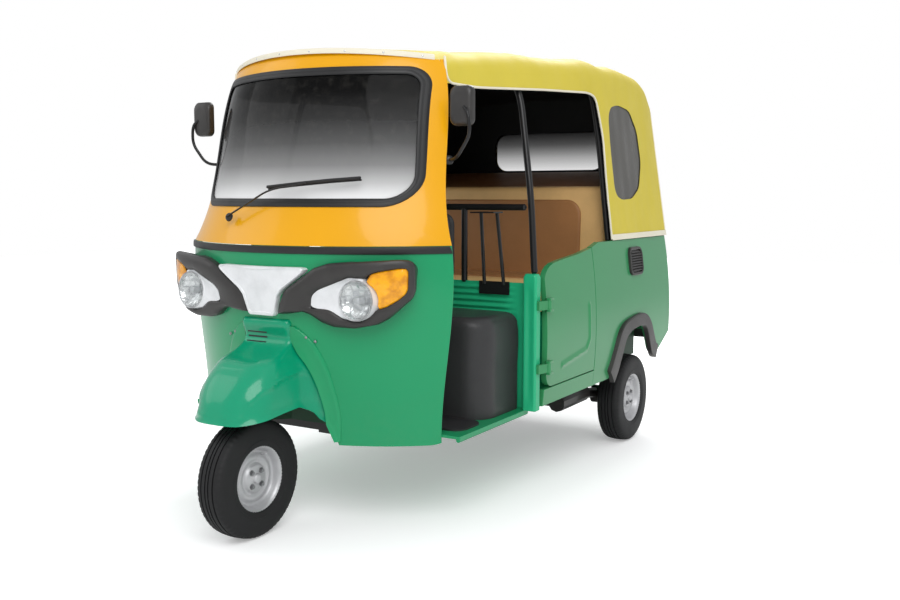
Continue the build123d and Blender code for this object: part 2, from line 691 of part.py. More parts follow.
with BuildPart() as front_link:
    with BuildSketch(SIDE.offset(LEG_X + LEG_WIDTH / 2 + SEAT_GAP)):
        with BuildLine():
            Polyline(
                (-26, AXLE_HEIGHT - 22), (26, AXLE_HEIGHT - 24), (LINK_PIVOT_Y + 22, LINK_PIVOT_HEIGHT - 16),
                (LINK_PIVOT_Y + 20, LINK_PIVOT_HEIGHT + 18), (20, AXLE_HEIGHT + 26), (-24, AXLE_HEIGHT + 20),
                close=True,
            )
        make_face()
    extrude(amount=LINK_WIDTH)
    with BuildSketch(SIDE.offset(LEG_X + LEG_WIDTH / 2 + SEAT_GAP)):
        with Locations((0, AXLE_HEIGHT)):
            Circle(AXLE_RADIUS)
    extrude(amount=34 - LEG_X - LEG_WIDTH / 2)
    with BuildSketch(SIDE.offset(LEG_X + LEG_WIDTH / 2 + SEAT_GAP)):
        with Locations((0, AXLE_HEIGHT)):
            Circle(24)
    extrude(amount=-26)
front_link.part.label = "front_link"
export_step(front_link.part, "parts/front_link.step")

SPRING_FOOT = (LEG_X, 5.0, AXLE_HEIGHT + 30.0)
SPRING_HEAD = (LEG_X, steer_back(418.0) - 38.0, 424.0)
with BuildPart() as front_spring:
    add(tube([at(*SPRING_FOOT), at(*SPRING_HEAD)], FRONT_SPRING_RADIUS))
front_spring.part.label = "front_spring"
export_step(front_spring.part, "parts/front_spring.step")


def on_bar(x, back):
    """A point of the handlebar, to the side and rearward in the plane of the bar."""
    return tuple(STEER.offset(BAR_LEVEL).from_local_coords(Vector(x, back, 0)))


bar_side = [on_bar(*point) for point in BAR_POINTS]
with BuildPart() as handlebar:
    add(tube([on_bar(-x, back) for x, back in reversed(BAR_POINTS)] + bar_side, BAR_RADIUS))
    with BuildSketch(STEER.offset(BAR_LEVEL + SEAT_GAP - BAR_RADIUS - 16)):
        Circle(COLUMN_RADIUS + 9)
        Circle(COLUMN_RADIUS + SEAT_GAP, mode=Mode.SUBTRACT)
    extrude(amount=16 + BAR_RADIUS)
    with BuildSketch(STEER.offset(CROWN_LOW)):
        Circle(COLUMN_RADIUS + SEAT_GAP)
    extrude(amount=BAR_LEVEL - CROWN_LOW + SEAT_GAP, mode=Mode.SUBTRACT)
handlebar.part.label = "handlebar"
export_step(handlebar.part, "parts/handlebar.step")


GRIP_START = BAR_POINTS[-1][0] - GRIP_LENGTH
grip_slope = (BAR_POINTS[-1][1] - BAR_POINTS[-2][1]) / (BAR_POINTS[-1][0] - BAR_POINTS[-2][0])
grip_run = [(GRIP_START, BAR_POINTS[-1][1] - GRIP_LENGTH * grip_slope), BAR_POINTS[-1]]
with BuildPart() as handlebar_grips:
    for side in (1, -1):
        run = [on_bar(side * x, back) for x, back in grip_run]
        add(tube(run, GRIP_RADIUS))
        add(tube(run, BAR_RADIUS + SEAT_GAP), mode=Mode.SUBTRACT)
handlebar_grips.part.label = "handlebar_grips"
export_step(handlebar_grips.part, "parts/handlebar_grips.step")

# ---------------------------------------------------------------- cabin floor, partition and seats
MAT_THICKNESS = 6.0
MAT_MARGIN = 30.0
FLOOR_REAR = SEAT_FRONT_Y - SEAT_GAP
with BuildPart() as floor_pan:
    with BuildSketch(PLAN.offset(FLOOR_TOP)) as floor_outline:
        with BuildLine():
            Polyline(
                (-SILL_HALF_WIDTH, SHELL_LOWER[0][3] + 1), (SILL_HALF_WIDTH, SHELL_LOWER[0][3] + 1),
                (SILL_HALF_WIDTH, FLOOR_REAR), (-SILL_HALF_WIDTH, FLOOR_REAR), close=True,
            )
        make_face()
        with Locations((0, SHELL_LOWER[0][3])):
            Rectangle(2 * HOUSING_ROWS[0][1], 90, mode=Mode.SUBTRACT)
        with Locations((0, SPINE_REAR / 2)):
            Rectangle(2 * SPINE_HALF_WIDTH + 2 * SEAT_GAP, SPINE_REAR + 2 * SEAT_GAP, mode=Mode.SUBTRACT)
    extrude(amount=-FLOOR_THICKNESS)
    with BuildSketch(PLAN.offset(FLOOR_TOP - FLOOR_THICKNESS)):
        for side in (1, -1):
            with Locations((side * (SILL_HALF_WIDTH - 15), (SHELL_LOWER[0][3] + PARTITION_Y) / 2)):
                Rectangle(30, PARTITION_Y - SHELL_LOWER[0][3] - 2)
    extrude(amount=-SILL_DEPTH + FLOOR_THICKNESS)
floor_pan.part.label = "floor_pan"
export_step(floor_pan.part, "parts/floor_pan.step")

with BuildPart() as floor_mat:
    with BuildSketch(PLAN.offset(FLOOR_TOP + SEAT_GAP)) as mat_outline:
        with Locations((0, (SHELL_LOWER[0][3] + 55 + DRIVER_SEAT_FRONT) / 2)):
            Rectangle(2 * (SILL_HALF_WIDTH - MAT_MARGIN), DRIVER_SEAT_FRONT - SHELL_LOWER[0][3] - 60)
        fillet(mat_outline.vertices(), 50)
        with Locations((0, SPINE_REAR / 2)):
            Rectangle(2 * SPINE_HALF_WIDTH + PANEL_GAP, SPINE_REAR + PANEL_GAP, mode=Mode.SUBTRACT)
    extrude(amount=MAT_THICKNESS)
floor_mat.part.label = "floor_mat"
export_step(floor_mat.part, "parts/floor_mat.step")

PILLAR_X = SIDE_SECTION[1][0] - 15 - PILLAR_WIDTH / 2
with BuildPart() as partition:
    with BuildSketch(FACE.offset(-PARTITION_Y)):
        with Locations((0, (FLOOR_TOP + SEAT_GAP + PARTITION_TOP) / 2)):
            Rectangle(2 * PILLAR_X, PARTITION_TOP - FLOOR_TOP - SEAT_GAP)
    extrude(amount=-PARTITION_THICKNESS)
    with BuildSketch(PLAN.offset(FLOOR_TOP + SEAT_GAP)) as pillars:
        for side in (1, -1):
            with Locations((side * PILLAR_X, PARTITION_Y + PARTITION_THICKNESS - PILLAR_DEPTH / 2)):
                Rectangle(PILLAR_WIDTH, PILLAR_DEPTH)
    extrude(amount=PILLAR_TOP - FLOOR_TOP - SEAT_GAP)
    rib_pitch = 24.0
    with BuildSketch(SIDE):
        with Locations(*[(PARTITION_Y, PARTITION_TOP - 22 - i * rib_pitch) for i in range(RIB_COUNT)]):
            RegularPolygon(7, TUBE_FLATS)
    extrude(amount=DRIVER_SEAT_HALF_WIDTH, both=True)
partition.part.label = "partition"
export_step(partition.part, "parts/partition.step")

seat_rear = PARTITION_Y - 8.0
with BuildPart() as driver_seat:
    with BuildSketch(PLAN.offset(FLOOR_TOP + SEAT_GAP)) as seat_plan:
        with Locations((0, (DRIVER_SEAT_FRONT + seat_rear) / 2)):
            Rectangle(2 * DRIVER_SEAT_HALF_WIDTH, seat_rear - DRIVER_SEAT_FRONT)
        fillet(seat_plan.vertices().group_by(Axis.Y)[0], DRIVER_SEAT_CORNER)
    extrude(amount=DRIVER_SEAT_TOP - FLOOR_TOP)
    chamfer(driver_seat.faces().sort_by(Axis.Z)[-1].edges(), 28)
driver_seat.part.label = "driver_seat"
export_step(driver_seat.part, "parts/driver_seat.step")

with BuildPart() as guard_rail:
    for points in (
        [at(POST_X, PARTITION_Y + 4, PARTITION_TOP + SEAT_GAP), at(POST_X, PARTITION_Y + 4, RAIL_HEIGHT)],
        [at(-POST_X, PARTITION_Y + 4, PARTITION_TOP + SEAT_GAP), at(-POST_X, PARTITION_Y + 4, RAIL_HEIGHT)],
        [at(-585, PARTITION_Y + 4, RAIL_HEIGHT), at(585, PARTITION_Y + 4, RAIL_HEIGHT)],
    ):
        add(tube(points, POST_RADIUS))
guard_rail.part.label = "guard_rail"
export_step(guard_rail.part, "parts/guard_rail.step")

with BuildPart() as driver_backrest:
    with BuildSketch(FACE.offset(-(PARTITION_Y - POST_RADIUS - SEAT_GAP + 4))) as pad:
        with Locations((0, (BACKREST_LOW + BACKREST_HIGH) / 2)):
            RectangleRounded(2 * BACKREST_HALF_WIDTH, BACKREST_HIGH - BACKREST_LOW, 50)
    extrude(amount=46)
    chamfer(driver_backrest.faces().sort_by(Axis.Y)[0].edges(), 14)
driver_backrest.part.label = "driver_backrest"
export_step(driver_backrest.part, "parts/driver_backrest.step")

METER_BOLT_RADIUS = 4.0
METER_BOLT_PITCH = 60.0
METER_X = 465.0
with BuildPart() as meter_stand:
    with BuildSketch(PLAN.offset(1084)):
        with Locations((METER_X, 806)):
            Rectangle(100, 74)
        with Locations((METER_X - METER_BOLT_PITCH / 2, 806), (METER_X + METER_BOLT_PITCH / 2, 806)):
            Circle(METER_BOLT_RADIUS, mode=Mode.SUBTRACT)
    extrude(amount=5)
    for side in (1, -1):
        add(tube(
            [at(METER_X + side * 42, PARTITION_Y - 12, 812), at(METER_X + side * 34, 826, 1084)], 7,
        ))
    with BuildSketch(FACE.offset(-(PARTITION_Y - 8 - SEAT_GAP))):
        with Locations((METER_X, 798)):
            Rectangle(130, 50)
    extrude(amount=5)
meter_stand.part.label = "meter_stand"
export_step(meter_stand.part, "parts/meter_stand.step")

# ---------------------------------------------------------------- dashboard, mirrors and wiper
DASH_TOP = 968.0
with BuildPart() as dashboard:
    add(shell_bulk(SHELL_LOWER, -SHEET - SEAT_GAP))
    with BuildSketch(SIDE):
        with BuildLine():
            Polyline((0, 880), (150, 880), (195, 930), (195, DASH_TOP), (0, DASH_TOP), close=True)
        make_face()
    extrude(amount=ACROSS, both=True, mode=Mode.INTERSECT)
    with BuildSketch(FACE.offset(-185)):
        with Locations((0, DASH_TOP + 30)):
            RectangleRounded(170, 100, 25)
    extrude(amount=60)
dashboard.part.label = "dashboard"
export_step(dashboard.part, "parts/dashboard.step")

MIRROR_X = 585.0
MIRROR_BACK = 416.0
MIRROR_HEIGHT = 1445.0
MIRROR_WIDTH = 86.0
MIRROR_TALL = 132.0
MIRROR_DEEP = 30.0
MIRROR_ARM = ((519.0, 440.0, 1268.0), (552.0, 414.0, 1272.0), (602.0, 404.0, 1325.0), (602.0, 404.0, 1420.0))
with BuildPart() as mirror_arms:
    arm = [at(*point) for point in MIRROR_ARM]
    for points in (arm, mirrored(arm)):
        add(tube(points, 6))
mirror_arms.part.label = "mirror_arms"
export_step(mirror_arms.part, "parts/mirror_arms.step")

with BuildPart() as mirror_heads:
    for side in (1, -1):
        with BuildSketch(FACE.offset(-MIRROR_BACK + MIRROR_DEEP / 2)):
            with Locations((side * MIRROR_X, MIRROR_HEIGHT)):
                Rectangle(MIRROR_WIDTH, MIRROR_TALL)
        extrude(amount=-MIRROR_DEEP)
    chamfer(mirror_heads.faces().group_by(Axis.Y)[0].edges(), 6)
    with BuildSketch(PLAN.offset(MIRROR_HEIGHT - MIRROR_TALL / 2 - 1)):
        with Locations((MIRROR_ARM[-1][0], MIRROR_ARM[-1][1]), (-MIRROR_ARM[-1][0], MIRROR_ARM[-1][1])):
            Circle(6 + SEAT_GAP)
    extrude(amount=60, mode=Mode.SUBTRACT)
mirror_heads.part.label = "mirror_heads"
export_step(mirror_heads.part, "parts/mirror_heads.step")

with BuildPart() as wiper:
    add(tube([at(-178, 131, 1075), at(-178, 112, 1075)], 11))
    add(tube([at(-178, 120, 1075), at(19, 109, 1168), at(150, 130, 1187)], 5))
    add(tube([at(-10, 124, 1175), at(150, 134, 1187), at(325, 206, 1207)], 5))
wiper.part.label = "wiper"
export_step(wiper.part, "parts/wiper.step")


# ---------------------------------------------------------------- body sides, door and tail
def side_layer(side, low, high, front, rear):
    """Stretch of the curved body side between two offsets of its outer face, 0 being that face."""
    with BuildPart() as layer:
        with BuildSketch(FACE.offset(-front)):
            with BuildLine():
                outer = [(side * (x + high), z) for x, z in SIDE_SECTION]
                inner = [(side * (x + low), z) for x, z in reversed(SIDE_SECTION)]
                ThreePointArc(*outer)
                Line(outer[-1], inner[0])
                ThreePointArc(*inner)
                Line(inner[-1], outer[0])
            make_face()
        extrude(amount=front - rear)
    return layer.part


QUARTER_OUTLINE = (
    (SIDE_FRONT, ROCKER_LOW), (SIDE_FRONT, ROCKER_TOP), (DOOR_REAR + PANEL_GAP, ROCKER_TOP),
    (DOOR_REAR + PANEL_GAP, 934.0), (1470.0, BELT_TOP), (SIDE_REAR_TOP, BELT_TOP), (SIDE_REAR_LOW, TAIL_LOW),
    (2179.0, 385.0), (2100.0, 385.0), (1570.0, ROCKER_LOW),
)
DOOR_OUTLINE = (
    (DOOR_FRONT, DOOR_LOW), (DOOR_FRONT, DOOR_FRONT_TOP), (960.0, 880.0), (DOOR_REAR, DOOR_REAR_TOP),
    (DOOR_REAR, DOOR_LOW),
)
FILLED_OUTLINE = (
    (SIDE_FRONT, ROCKER_LOW), (SIDE_FRONT, DOOR_FRONT_TOP - 4.0), (960.0, 880.0), (DOOR_REAR, DOOR_REAR_TOP),
) + QUARTER_OUTLINE[4:]


def side_outline(points):
    """A block across the vehicle with the given outline from the side."""
    with BuildPart() as block:
        with BuildSketch(SIDE):
            with BuildLine():
                Polyline(*points, close=True)
            make_face()
        extrude(amount=ACROSS, both=True)
    return block.part


with BuildPart() as arch_block:
    with BuildSketch(SIDE) as arch:
        with BuildLine():
            Polyline(*ARCH_OUTLINE, close=True)
        make_face()
    extrude(amount=ACROSS, both=True)
with BuildPart() as arch_trim_block:
    with BuildSketch(SIDE):
        add(arch.sketch_local)
        offset(amount=ARCH_TRIM_WIDTH, kind=Kind.INTERSECTION)
        with Locations((1850, 250)):
            Rectangle(900, 200, mode=Mode.SUBTRACT)
    extrude(amount=ACROSS, both=True)

# side, outline, name
SIDE_PANELS = ((1, QUARTER_OUTLINE, "side_panel_left"), (-1, FILLED_OUTLINE, "side_panel_right"))
for side, outline, panel_name in SIDE_PANELS:
    with BuildPart() as side_panel:
        add(side_layer(side, -SIDE_THICKNESS, 0, SIDE_FRONT, SIDE_REAR_LOW))
        add(side_outline(outline), mode=Mode.INTERSECT)
        add(arch_block.part, mode=Mode.SUBTRACT)
    side_panel.part.label = panel_name
    export_step(side_panel.part, "parts/" + panel_name + ".step")

with BuildPart() as arch_trims:
    for side in (1, -1):
        add(side_layer(side, SEAT_GAP, ARCH_TRIM_PROUD, 1400, SIDE_REAR_LOW))
    add(arch_trim_block.part, mode=Mode.INTERSECT)
    add(arch_block.part, mode=Mode.SUBTRACT)
arch_trims.part.label = "arch_trims"
export_step(arch_trims.part, "parts/arch_trims.step")

with BuildPart() as side_vents:
    for side in (1, -1):
        add(side_layer(side, SEAT_GAP, 8, VENT_FRONT, VENT_REAR))
    with BuildSketch(SIDE) as vent_frame:
        with Locations(((VENT_FRONT + VENT_REAR) / 2, (VENT_LOW + VENT_HIGH) / 2)):
            Rectangle(VENT_REAR - VENT_FRONT, VENT_HIGH - VENT_LOW)
    extrude(amount=ACROSS, both=True, mode=Mode.INTERSECT)
    slat_pitch = (VENT_HIGH - VENT_LOW - 24) / SLAT_COUNT
    with BuildSketch(SIDE):
        with Locations(*[
            ((VENT_FRONT + VENT_REAR) / 2, VENT_LOW + 12 + (i + 0.5) * slat_pitch) for i in range(SLAT_COUNT)
        ]):
            Rectangle(VENT_REAR - VENT_FRONT - 28, slat_pitch * 0.5)
    extrude(amount=ACROSS, both=True, mode=Mode.SUBTRACT)
side_vents.part.label = "side_vents"
export_step(side_vents.part, "parts/side_vents.step")


def hinge_cylinder(height, radius, length):
    """An upright cylinder on the door's hinge axis, centred on a height."""
    with BuildPart() as cylinder:
        with BuildSketch(PLAN.offset(height - length / 2)):
            with Locations((HINGE_X, HINGE_BACK)):
                Circle(radius)
        extrude(amount=length)
    return cylinder.part


with BuildPart() as passenger_door:
    add(side_layer(1, -SIDE_THICKNESS, 0, DOOR_FRONT, DOOR_REAR))
    add(side_outline(DOOR_OUTLINE), mode=Mode.INTERSECT)
    front_low = passenger_door.edges().filter_by(Axis.X).group_by(Axis.Z)[0].sort_by(Axis.Y)[0]
    fillet(front_low, DOOR_CORNER)
    for height in HINGE_HEIGHTS:
        add(hinge_cylinder(height, HINGE_PIN_RADIUS, HINGE_KNUCKLE_LENGTH + 16))
        for end in (1, -1):
            with BuildSketch(PLAN.offset(height + end * (HINGE_KNUCKLE_LENGTH / 2 + 5) - 4)):
                with BuildLine():
                    Polyline(
                        (HINGE_X - 9, HINGE_BACK - 9), (HINGE_X + 9, HINGE_BACK - 9),
                        (HINGE_X + 6, HINGE_BACK + 30),
                        (HINGE_X - 28, HINGE_BACK + 30), (HINGE_X - 28, HINGE_BACK + 9), close=True,
                    )
                make_face()
            extrude(amount=8)
passenger_door.part.label = "passenger_door"
export_step(passenger_door.part, "parts/passenger_door.step")

HINGE_LEAF_FRONT = 850.0
HINGE_LEAF_REAR = 884.0
hinge_leaf_x = PILLAR_X + PILLAR_WIDTH / 2 + SEAT_GAP
with BuildPart() as door_hinges:
    for height in HINGE_HEIGHTS:
        add(hinge_cylinder(height, HINGE_KNUCKLE_RADIUS, HINGE_KNUCKLE_LENGTH))
        with BuildSketch(PLAN.offset(height - HINGE_KNUCKLE_LENGTH / 2)):
            with BuildLine():
                Polyline(
                    (HINGE_X, HINGE_BACK - 8), (HINGE_X, HINGE_BACK), (hinge_leaf_x, HINGE_LEAF_REAR),
                    (hinge_leaf_x, HINGE_LEAF_FRONT), (HINGE_X - 14, HINGE_LEAF_FRONT), close=True,
                )
            make_face()
        extrude(amount=HINGE_KNUCKLE_LENGTH)
    for height in HINGE_HEIGHTS:
        bore = hinge_cylinder(height, HINGE_PIN_RADIUS + RUNNING_CLEARANCE, 2 * HINGE_KNUCKLE_LENGTH)
        add(bore, mode=Mode.SUBTRACT)
door_hinges.part.label = "door_hinges"
export_step(door_hinges.part, "parts/door_hinges.step")

TAIL_HALF_WIDTH = 618.0
TAIL_THICKNESS = 14.0
tail_run = SIDE_REAR_LOW - SIDE_REAR_TOP
TAIL_PLANE = Plane(
    origin=at(0, SIDE_REAR_LOW, TAIL_LOW), x_dir=(-1, 0, 0),
    z_dir=(0, BELT_TOP - TAIL_LOW, tail_run),
)
tail_height = sqrt((BELT_TOP - TAIL_LOW) ** 2 + tail_run**2)
with BuildPart() as tail_panel:
    with BuildSketch(TAIL_PLANE):
        with Locations((0, tail_height / 2)):
            Rectangle(2 * TAIL_HALF_WIDTH, tail_height)
        with Locations((0, (LID_LOW + LID_HIGH) / 2 - TAIL_LOW)):
            Rectangle(2 * LID_HALF_WIDTH, LID_HIGH - LID_LOW, mode=Mode.SUBTRACT)
    extrude(amount=-TAIL_THICKNESS)
    with BuildSketch(TAIL_PLANE.offset(-TAIL_THICKNESS)):
        with Locations((0, LID_HIGH - TAIL_LOW + 12)):
            Rectangle(2 * LID_HALF_WIDTH, 10)
    extrude(amount=-10)
lid_hinge_back = SIDE_REAR_LOW - tail_run * (LID_HIGH - TAIL_LOW) / (BELT_TOP - TAIL_LOW) + LID_HINGE_PROUD
lid_hinge_height = LID_HIGH - PANEL_GAP / 2


def lid_hinge_piece(outline, radius, spans):
    """Pieces of the lid's hinge over spans along x: a plate outline with a boss on the hinge axis."""
    with BuildPart() as pieces:
        for near, far in spans:
            with BuildSketch(SIDE.offset(near)):
                if outline:
                    with BuildLine():
                        Polyline(*outline, close=True)
                    make_face()
                with Locations((lid_hinge_back, lid_hinge_height)):
                    if outline:
                        RegularPolygon(radius, TUBE_FLATS)
                    else:
                        Circle(radius)
            extrude(amount=far - near)
    return pieces.part


LUG_HALF_WIDTH = 6.0
knuckle_half = LID_KNUCKLE / 2
lug_middle = knuckle_half + 8
lug_places = [side * LID_HINGE_X + end * lug_middle for side in (1, -1) for end in (1, -1)]
knuckle_spans = [(side * LID_HINGE_X - knuckle_half, side * LID_HINGE_X + knuckle_half) for side in (1, -1)]
lug_spans = [(place - LUG_HALF_WIDTH, place + LUG_HALF_WIDTH) for place in lug_places]
pin_spans = [(side * LID_HINGE_X - LID_KNUCKLE, side * LID_HINGE_X + LID_KNUCKLE) for side in (1, -1)]
lid_plate_back = lid_hinge_back - LID_HINGE_PROUD
lid_boss_back = lid_hinge_back + LID_HINGE_RADIUS
KNUCKLE_OUTLINE = (
    (lid_plate_back - 2, LID_HIGH + 2), (lid_boss_back, lid_hinge_height), (lid_boss_back, LID_HIGH + 8),
    (lid_plate_back + 4, LID_HIGH + 30), (lid_plate_back - 4, LID_HIGH + 30),
)
LUG_OUTLINE = (
    (lid_plate_back - 2, LID_HIGH - 8), (lid_boss_back, lid_hinge_height), (lid_boss_back, LID_HIGH - 12),
    (lid_plate_back + 5, LID_HIGH - 34), (lid_plate_back - 2, LID_HIGH - 34),
)
with BuildPart() as tail_with_hinges:
    add(tail_panel.part)
    add(lid_hinge_piece(KNUCKLE_OUTLINE, LID_HINGE_RADIUS, knuckle_spans))
    add(lid_hinge_piece(None, LID_PIN_RADIUS + RUNNING_CLEARANCE, pin_spans), mode=Mode.SUBTRACT)
tail_with_hinges.part.label = "tail_panel"
export_step(tail_with_hinges.part, "parts/tail_panel.step")

LID_BOLT_RADIUS = 3.5
LID_BOLT_PITCH = 150.0
lid_high_local = LID_HIGH - TAIL_LOW - PANEL_GAP
lid_low_local = LID_LOW - TAIL_LOW + PANEL_GAP
with BuildPart() as engine_lid:
    with BuildSketch(TAIL_PLANE):
        with Locations((0, (lid_high_local + lid_low_local) / 2)):
            Rectangle(2 * (LID_HALF_WIDTH - PANEL_GAP), lid_high_local - lid_low_local)
        with Locations(*[(x, 150) for x in (-LID_BOLT_PITCH / 2, LID_BOLT_PITCH / 2)]):
            Circle(LID_BOLT_RADIUS, mode=Mode.SUBTRACT)
    extrude(amount=-TAIL_THICKNESS)
    add(lid_hinge_piece(LUG_OUTLINE, LID_HINGE_RADIUS, lug_spans))
    add(lid_hinge_piece(None, LID_PIN_RADIUS, pin_spans))
engine_lid.part.label = "engine_lid"
export_step(engine_lid.part, "parts/engine_lid.step")

LAMP_X = 540.0
LAMP_WIDTH = 90.0
LAMP_LOW = 560.0
LAMP_HIGH = 790.0
with BuildPart() as tail_lamps:
    with BuildSketch(TAIL_PLANE.offset(SEAT_GAP)):
        with Locations(*[(side * LAMP_X, (LAMP_LOW + LAMP_HIGH) / 2 - TAIL_LOW) for side in (1, -1)]):
            RectangleRounded(LAMP_WIDTH, LAMP_HIGH - LAMP_LOW, 18)
    extrude(amount=14)
tail_lamps.part.label = "tail_lamps"
export_step(tail_lamps.part, "parts/tail_lamps.step")

BUMPER_LOW = 430.0
BUMPER_HIGH = 492.0
BUMPER_HALF_WIDTH = 600.0
BUMPER_BEVEL = (8.0, 10.0)  # along, up
with BuildPart() as rear_bumper:
    with BuildSketch(SIDE):
        with BuildLine():
            Polyline(
                (SIDE_REAR_LOW + SEAT_GAP, BUMPER_LOW), (REAR_END - BUMPER_BEVEL[0], BUMPER_LOW),
                (REAR_END, BUMPER_LOW + BUMPER_BEVEL[1]), (REAR_END, BUMPER_HIGH - BUMPER_BEVEL[1]),
                (REAR_END - BUMPER_BEVEL[0], BUMPER_HIGH), (SIDE_REAR_LOW + SEAT_GAP, BUMPER_HIGH),
                close=True,
            )
        make_face()
    extrude(amount=BUMPER_HALF_WIDTH, both=True)
rear_bumper.part.label = "rear_bumper"
export_step(rear_bumper.part, "parts/rear_bumper.step")

# ---------------------------------------------------------------- passenger seat and rear inside
SEAT_HALF_WIDTH = 612.0
DECK_HEIGHT = 885.0
DECK_FRONT = SEAT_BACK_Y + 20.0
DECK_REAR = SIDE_REAR_TOP - 20.0
RISER_LOW = FLOOR_TOP - FLOOR_THICKNESS
with BuildPart() as seat_base:
    with BuildSketch(SIDE):
        with BuildLine():
            Polyline(
                (SEAT_FRONT_Y, RISER_LOW), (SEAT_FRONT_Y, SEAT_BASE_TOP), (SEAT_BACK_Y, SEAT_BASE_TOP),
                (DECK_FRONT, DECK_HEIGHT), (DECK_REAR, DECK_HEIGHT), (DECK_REAR, DECK_HEIGHT - SHEET),
                (DECK_FRONT + SHEET, DECK_HEIGHT - SHEET), (SEAT_BACK_Y + SHEET, SEAT_BASE_TOP - SHEET),
                (SEAT_FRONT_Y + SHEET, SEAT_BASE_TOP - SHEET), (SEAT_FRONT_Y + SHEET, RISER_LOW), close=True,
            )
        make_face()
    extrude(amount=SEAT_HALF_WIDTH, both=True)
seat_base.part.label = "seat_base"
export_step(seat_base.part, "parts/seat_base.step")

WING_REAR = SIDE_REAR_TOP - 27.0
WING_EDGE = SEAT_HALF_WIDTH + 18.0
wing_top = SEAT_BASE_TOP - SHEET - SEAT_GAP
with BuildPart() as rear_wings:
    for side in (1, -1):
        with BuildSketch(PLAN.offset(ROCKER_LOW)):
            with BuildLine():
                Polyline(
                    (side * WING_X, WING_REAR), (side * WING_X, WING_FRONT), (side * WING_EDGE, WING_FRONT),
                    (side * WING_EDGE, WING_FRONT + SHEET), (side * (WING_X + SHEET), WING_FRONT + SHEET),
                    (side * (WING_X + SHEET), WING_REAR), close=True,
                )
            make_face()
        extrude(amount=wing_top - ROCKER_LOW)
rear_wings.part.label = "rear_wings"
export_step(rear_wings.part, "parts/rear_wings.step")

CUSHION_FRONT = SEAT_FRONT_Y - 35.0
CUSHION_BACK = SEAT_BACK_Y - 118.0
CUSHION_FALL = 15.0
CUSHION_EDGE_RADIUS = 45.0
seat_low = SEAT_BASE_TOP + SEAT_GAP
cushion_top = SEAT_BASE_TOP + CUSHION_THICKNESS
with BuildPart() as passenger_cushion:
    with BuildSketch(SIDE) as cushion_side:
        with BuildLine():
            Polyline(
                (CUSHION_FRONT, seat_low), (CUSHION_FRONT, cushion_top),
                (CUSHION_BACK, cushion_top - CUSHION_FALL), (CUSHION_BACK, seat_low), close=True,
            )
        make_face()
        fillet(cushion_side.vertices().sort_by(Axis.X)[:2].sort_by(Axis.Y)[-1], CUSHION_EDGE_RADIUS)
    extrude(amount=SEAT_HALF_WIDTH - 12, both=True)
passenger_cushion.part.label = "passenger_cushion"
export_step(passenger_cushion.part, "parts/passenger_cushion.step")

# the backrest seen from the side: behind the seat's back line
BACKREST_FACE_LOW = -117.0
BACKREST_FACE_HIGH = -90.0
BACKREST_KNEE = DECK_HEIGHT - 190.0
with BuildPart() as passenger_backrest:
    with BuildSketch(SIDE) as backrest_side:
        with BuildLine():
            Polyline(
                (SEAT_BACK_Y + BACKREST_FACE_LOW, seat_low),
                (SEAT_BACK_Y + BACKREST_FACE_HIGH, BACKREST_TOP), (SEAT_BACK_Y + 5, BACKREST_TOP),
                (SEAT_BACK_Y + 2, BACKREST_KNEE), (SEAT_BACK_Y - 6, seat_low), close=True,
            )
        make_face()
    extrude(amount=SEAT_HALF_WIDTH - 20, both=True)
passenger_backrest.part.label = "passenger_backrest"
export_step(passenger_backrest.part, "parts/passenger_backrest.step")

SHELF_HALF_WIDTH = SEAT_HALF_WIDTH - 34.0
SHELF_KNEE = SIDE_REAR_TOP - 167.0
SHELF_REAR = SIDE_REAR_TOP - 32.0
SHELF_TOP = 1266.0
SHELF_THICKNESS = 16.0
shelf_foot = DECK_HEIGHT + SEAT_GAP
with BuildPart() as rear_shelf:
    with BuildSketch(SIDE):
        with BuildLine():
            Polyline(
                (SEAT_BACK_Y + 25, shelf_foot), (SEAT_BACK_Y + 6, BACKREST_TOP - 10),
                (SHELF_KNEE, SHELF_TOP), (SHELF_REAR, SHELF_TOP), (SHELF_REAR, SHELF_TOP - SHELF_THICKNESS),
                (SHELF_KNEE, SHELF_TOP - SHELF_THICKNESS),
                (SEAT_BACK_Y + 6 + SHELF_THICKNESS, BACKREST_TOP - 30),
                (SEAT_BACK_Y + 25 + SHELF_THICKNESS, shelf_foot), close=True,
            )
        make_face()
    extrude(amount=SHELF_HALF_WIDTH, both=True)
rear_shelf.part.label = "rear_shelf"
export_step(rear_shelf.part, "parts/rear_shelf.step")


# ---------------------------------------------------------------- hood and its frame
def hood_bulk(grow, back_shift):
    """Solid under the hood: an arch for each station, cambered across and cut off at the top corners."""
    last = len(HOOD_ROWS) - 1
    sections = []
    for index, (back, half_low, half_top, top) in enumerate(HOOD_ROWS):
        shares = {0: HOOD_OPEN_FRONT, last: 1}
        place = back + back_shift * shares.get(index, 0)
        side_points = [
            (half_low + grow, HOOD_LOW),
            (half_top + HOOD_CORNER * HOOD_SIDE_SLOPE + grow, top - HOOD_CORNER),
            (half_top - 0.3 * HOOD_CORNER + grow, top - 0.3 * HOOD_CORNER + grow),
            (half_top - HOOD_CORNER + grow, top + 0.25 * HOOD_CROWN + grow),
            (0.45 * half_top, top + 0.85 * HOOD_CROWN + grow),
        ]
        outline = side_points + [(-x, z) for x, z in reversed(side_points)]
        sections.append([at(x, place, z) for x, z in outline])
    return flat_loft(sections)


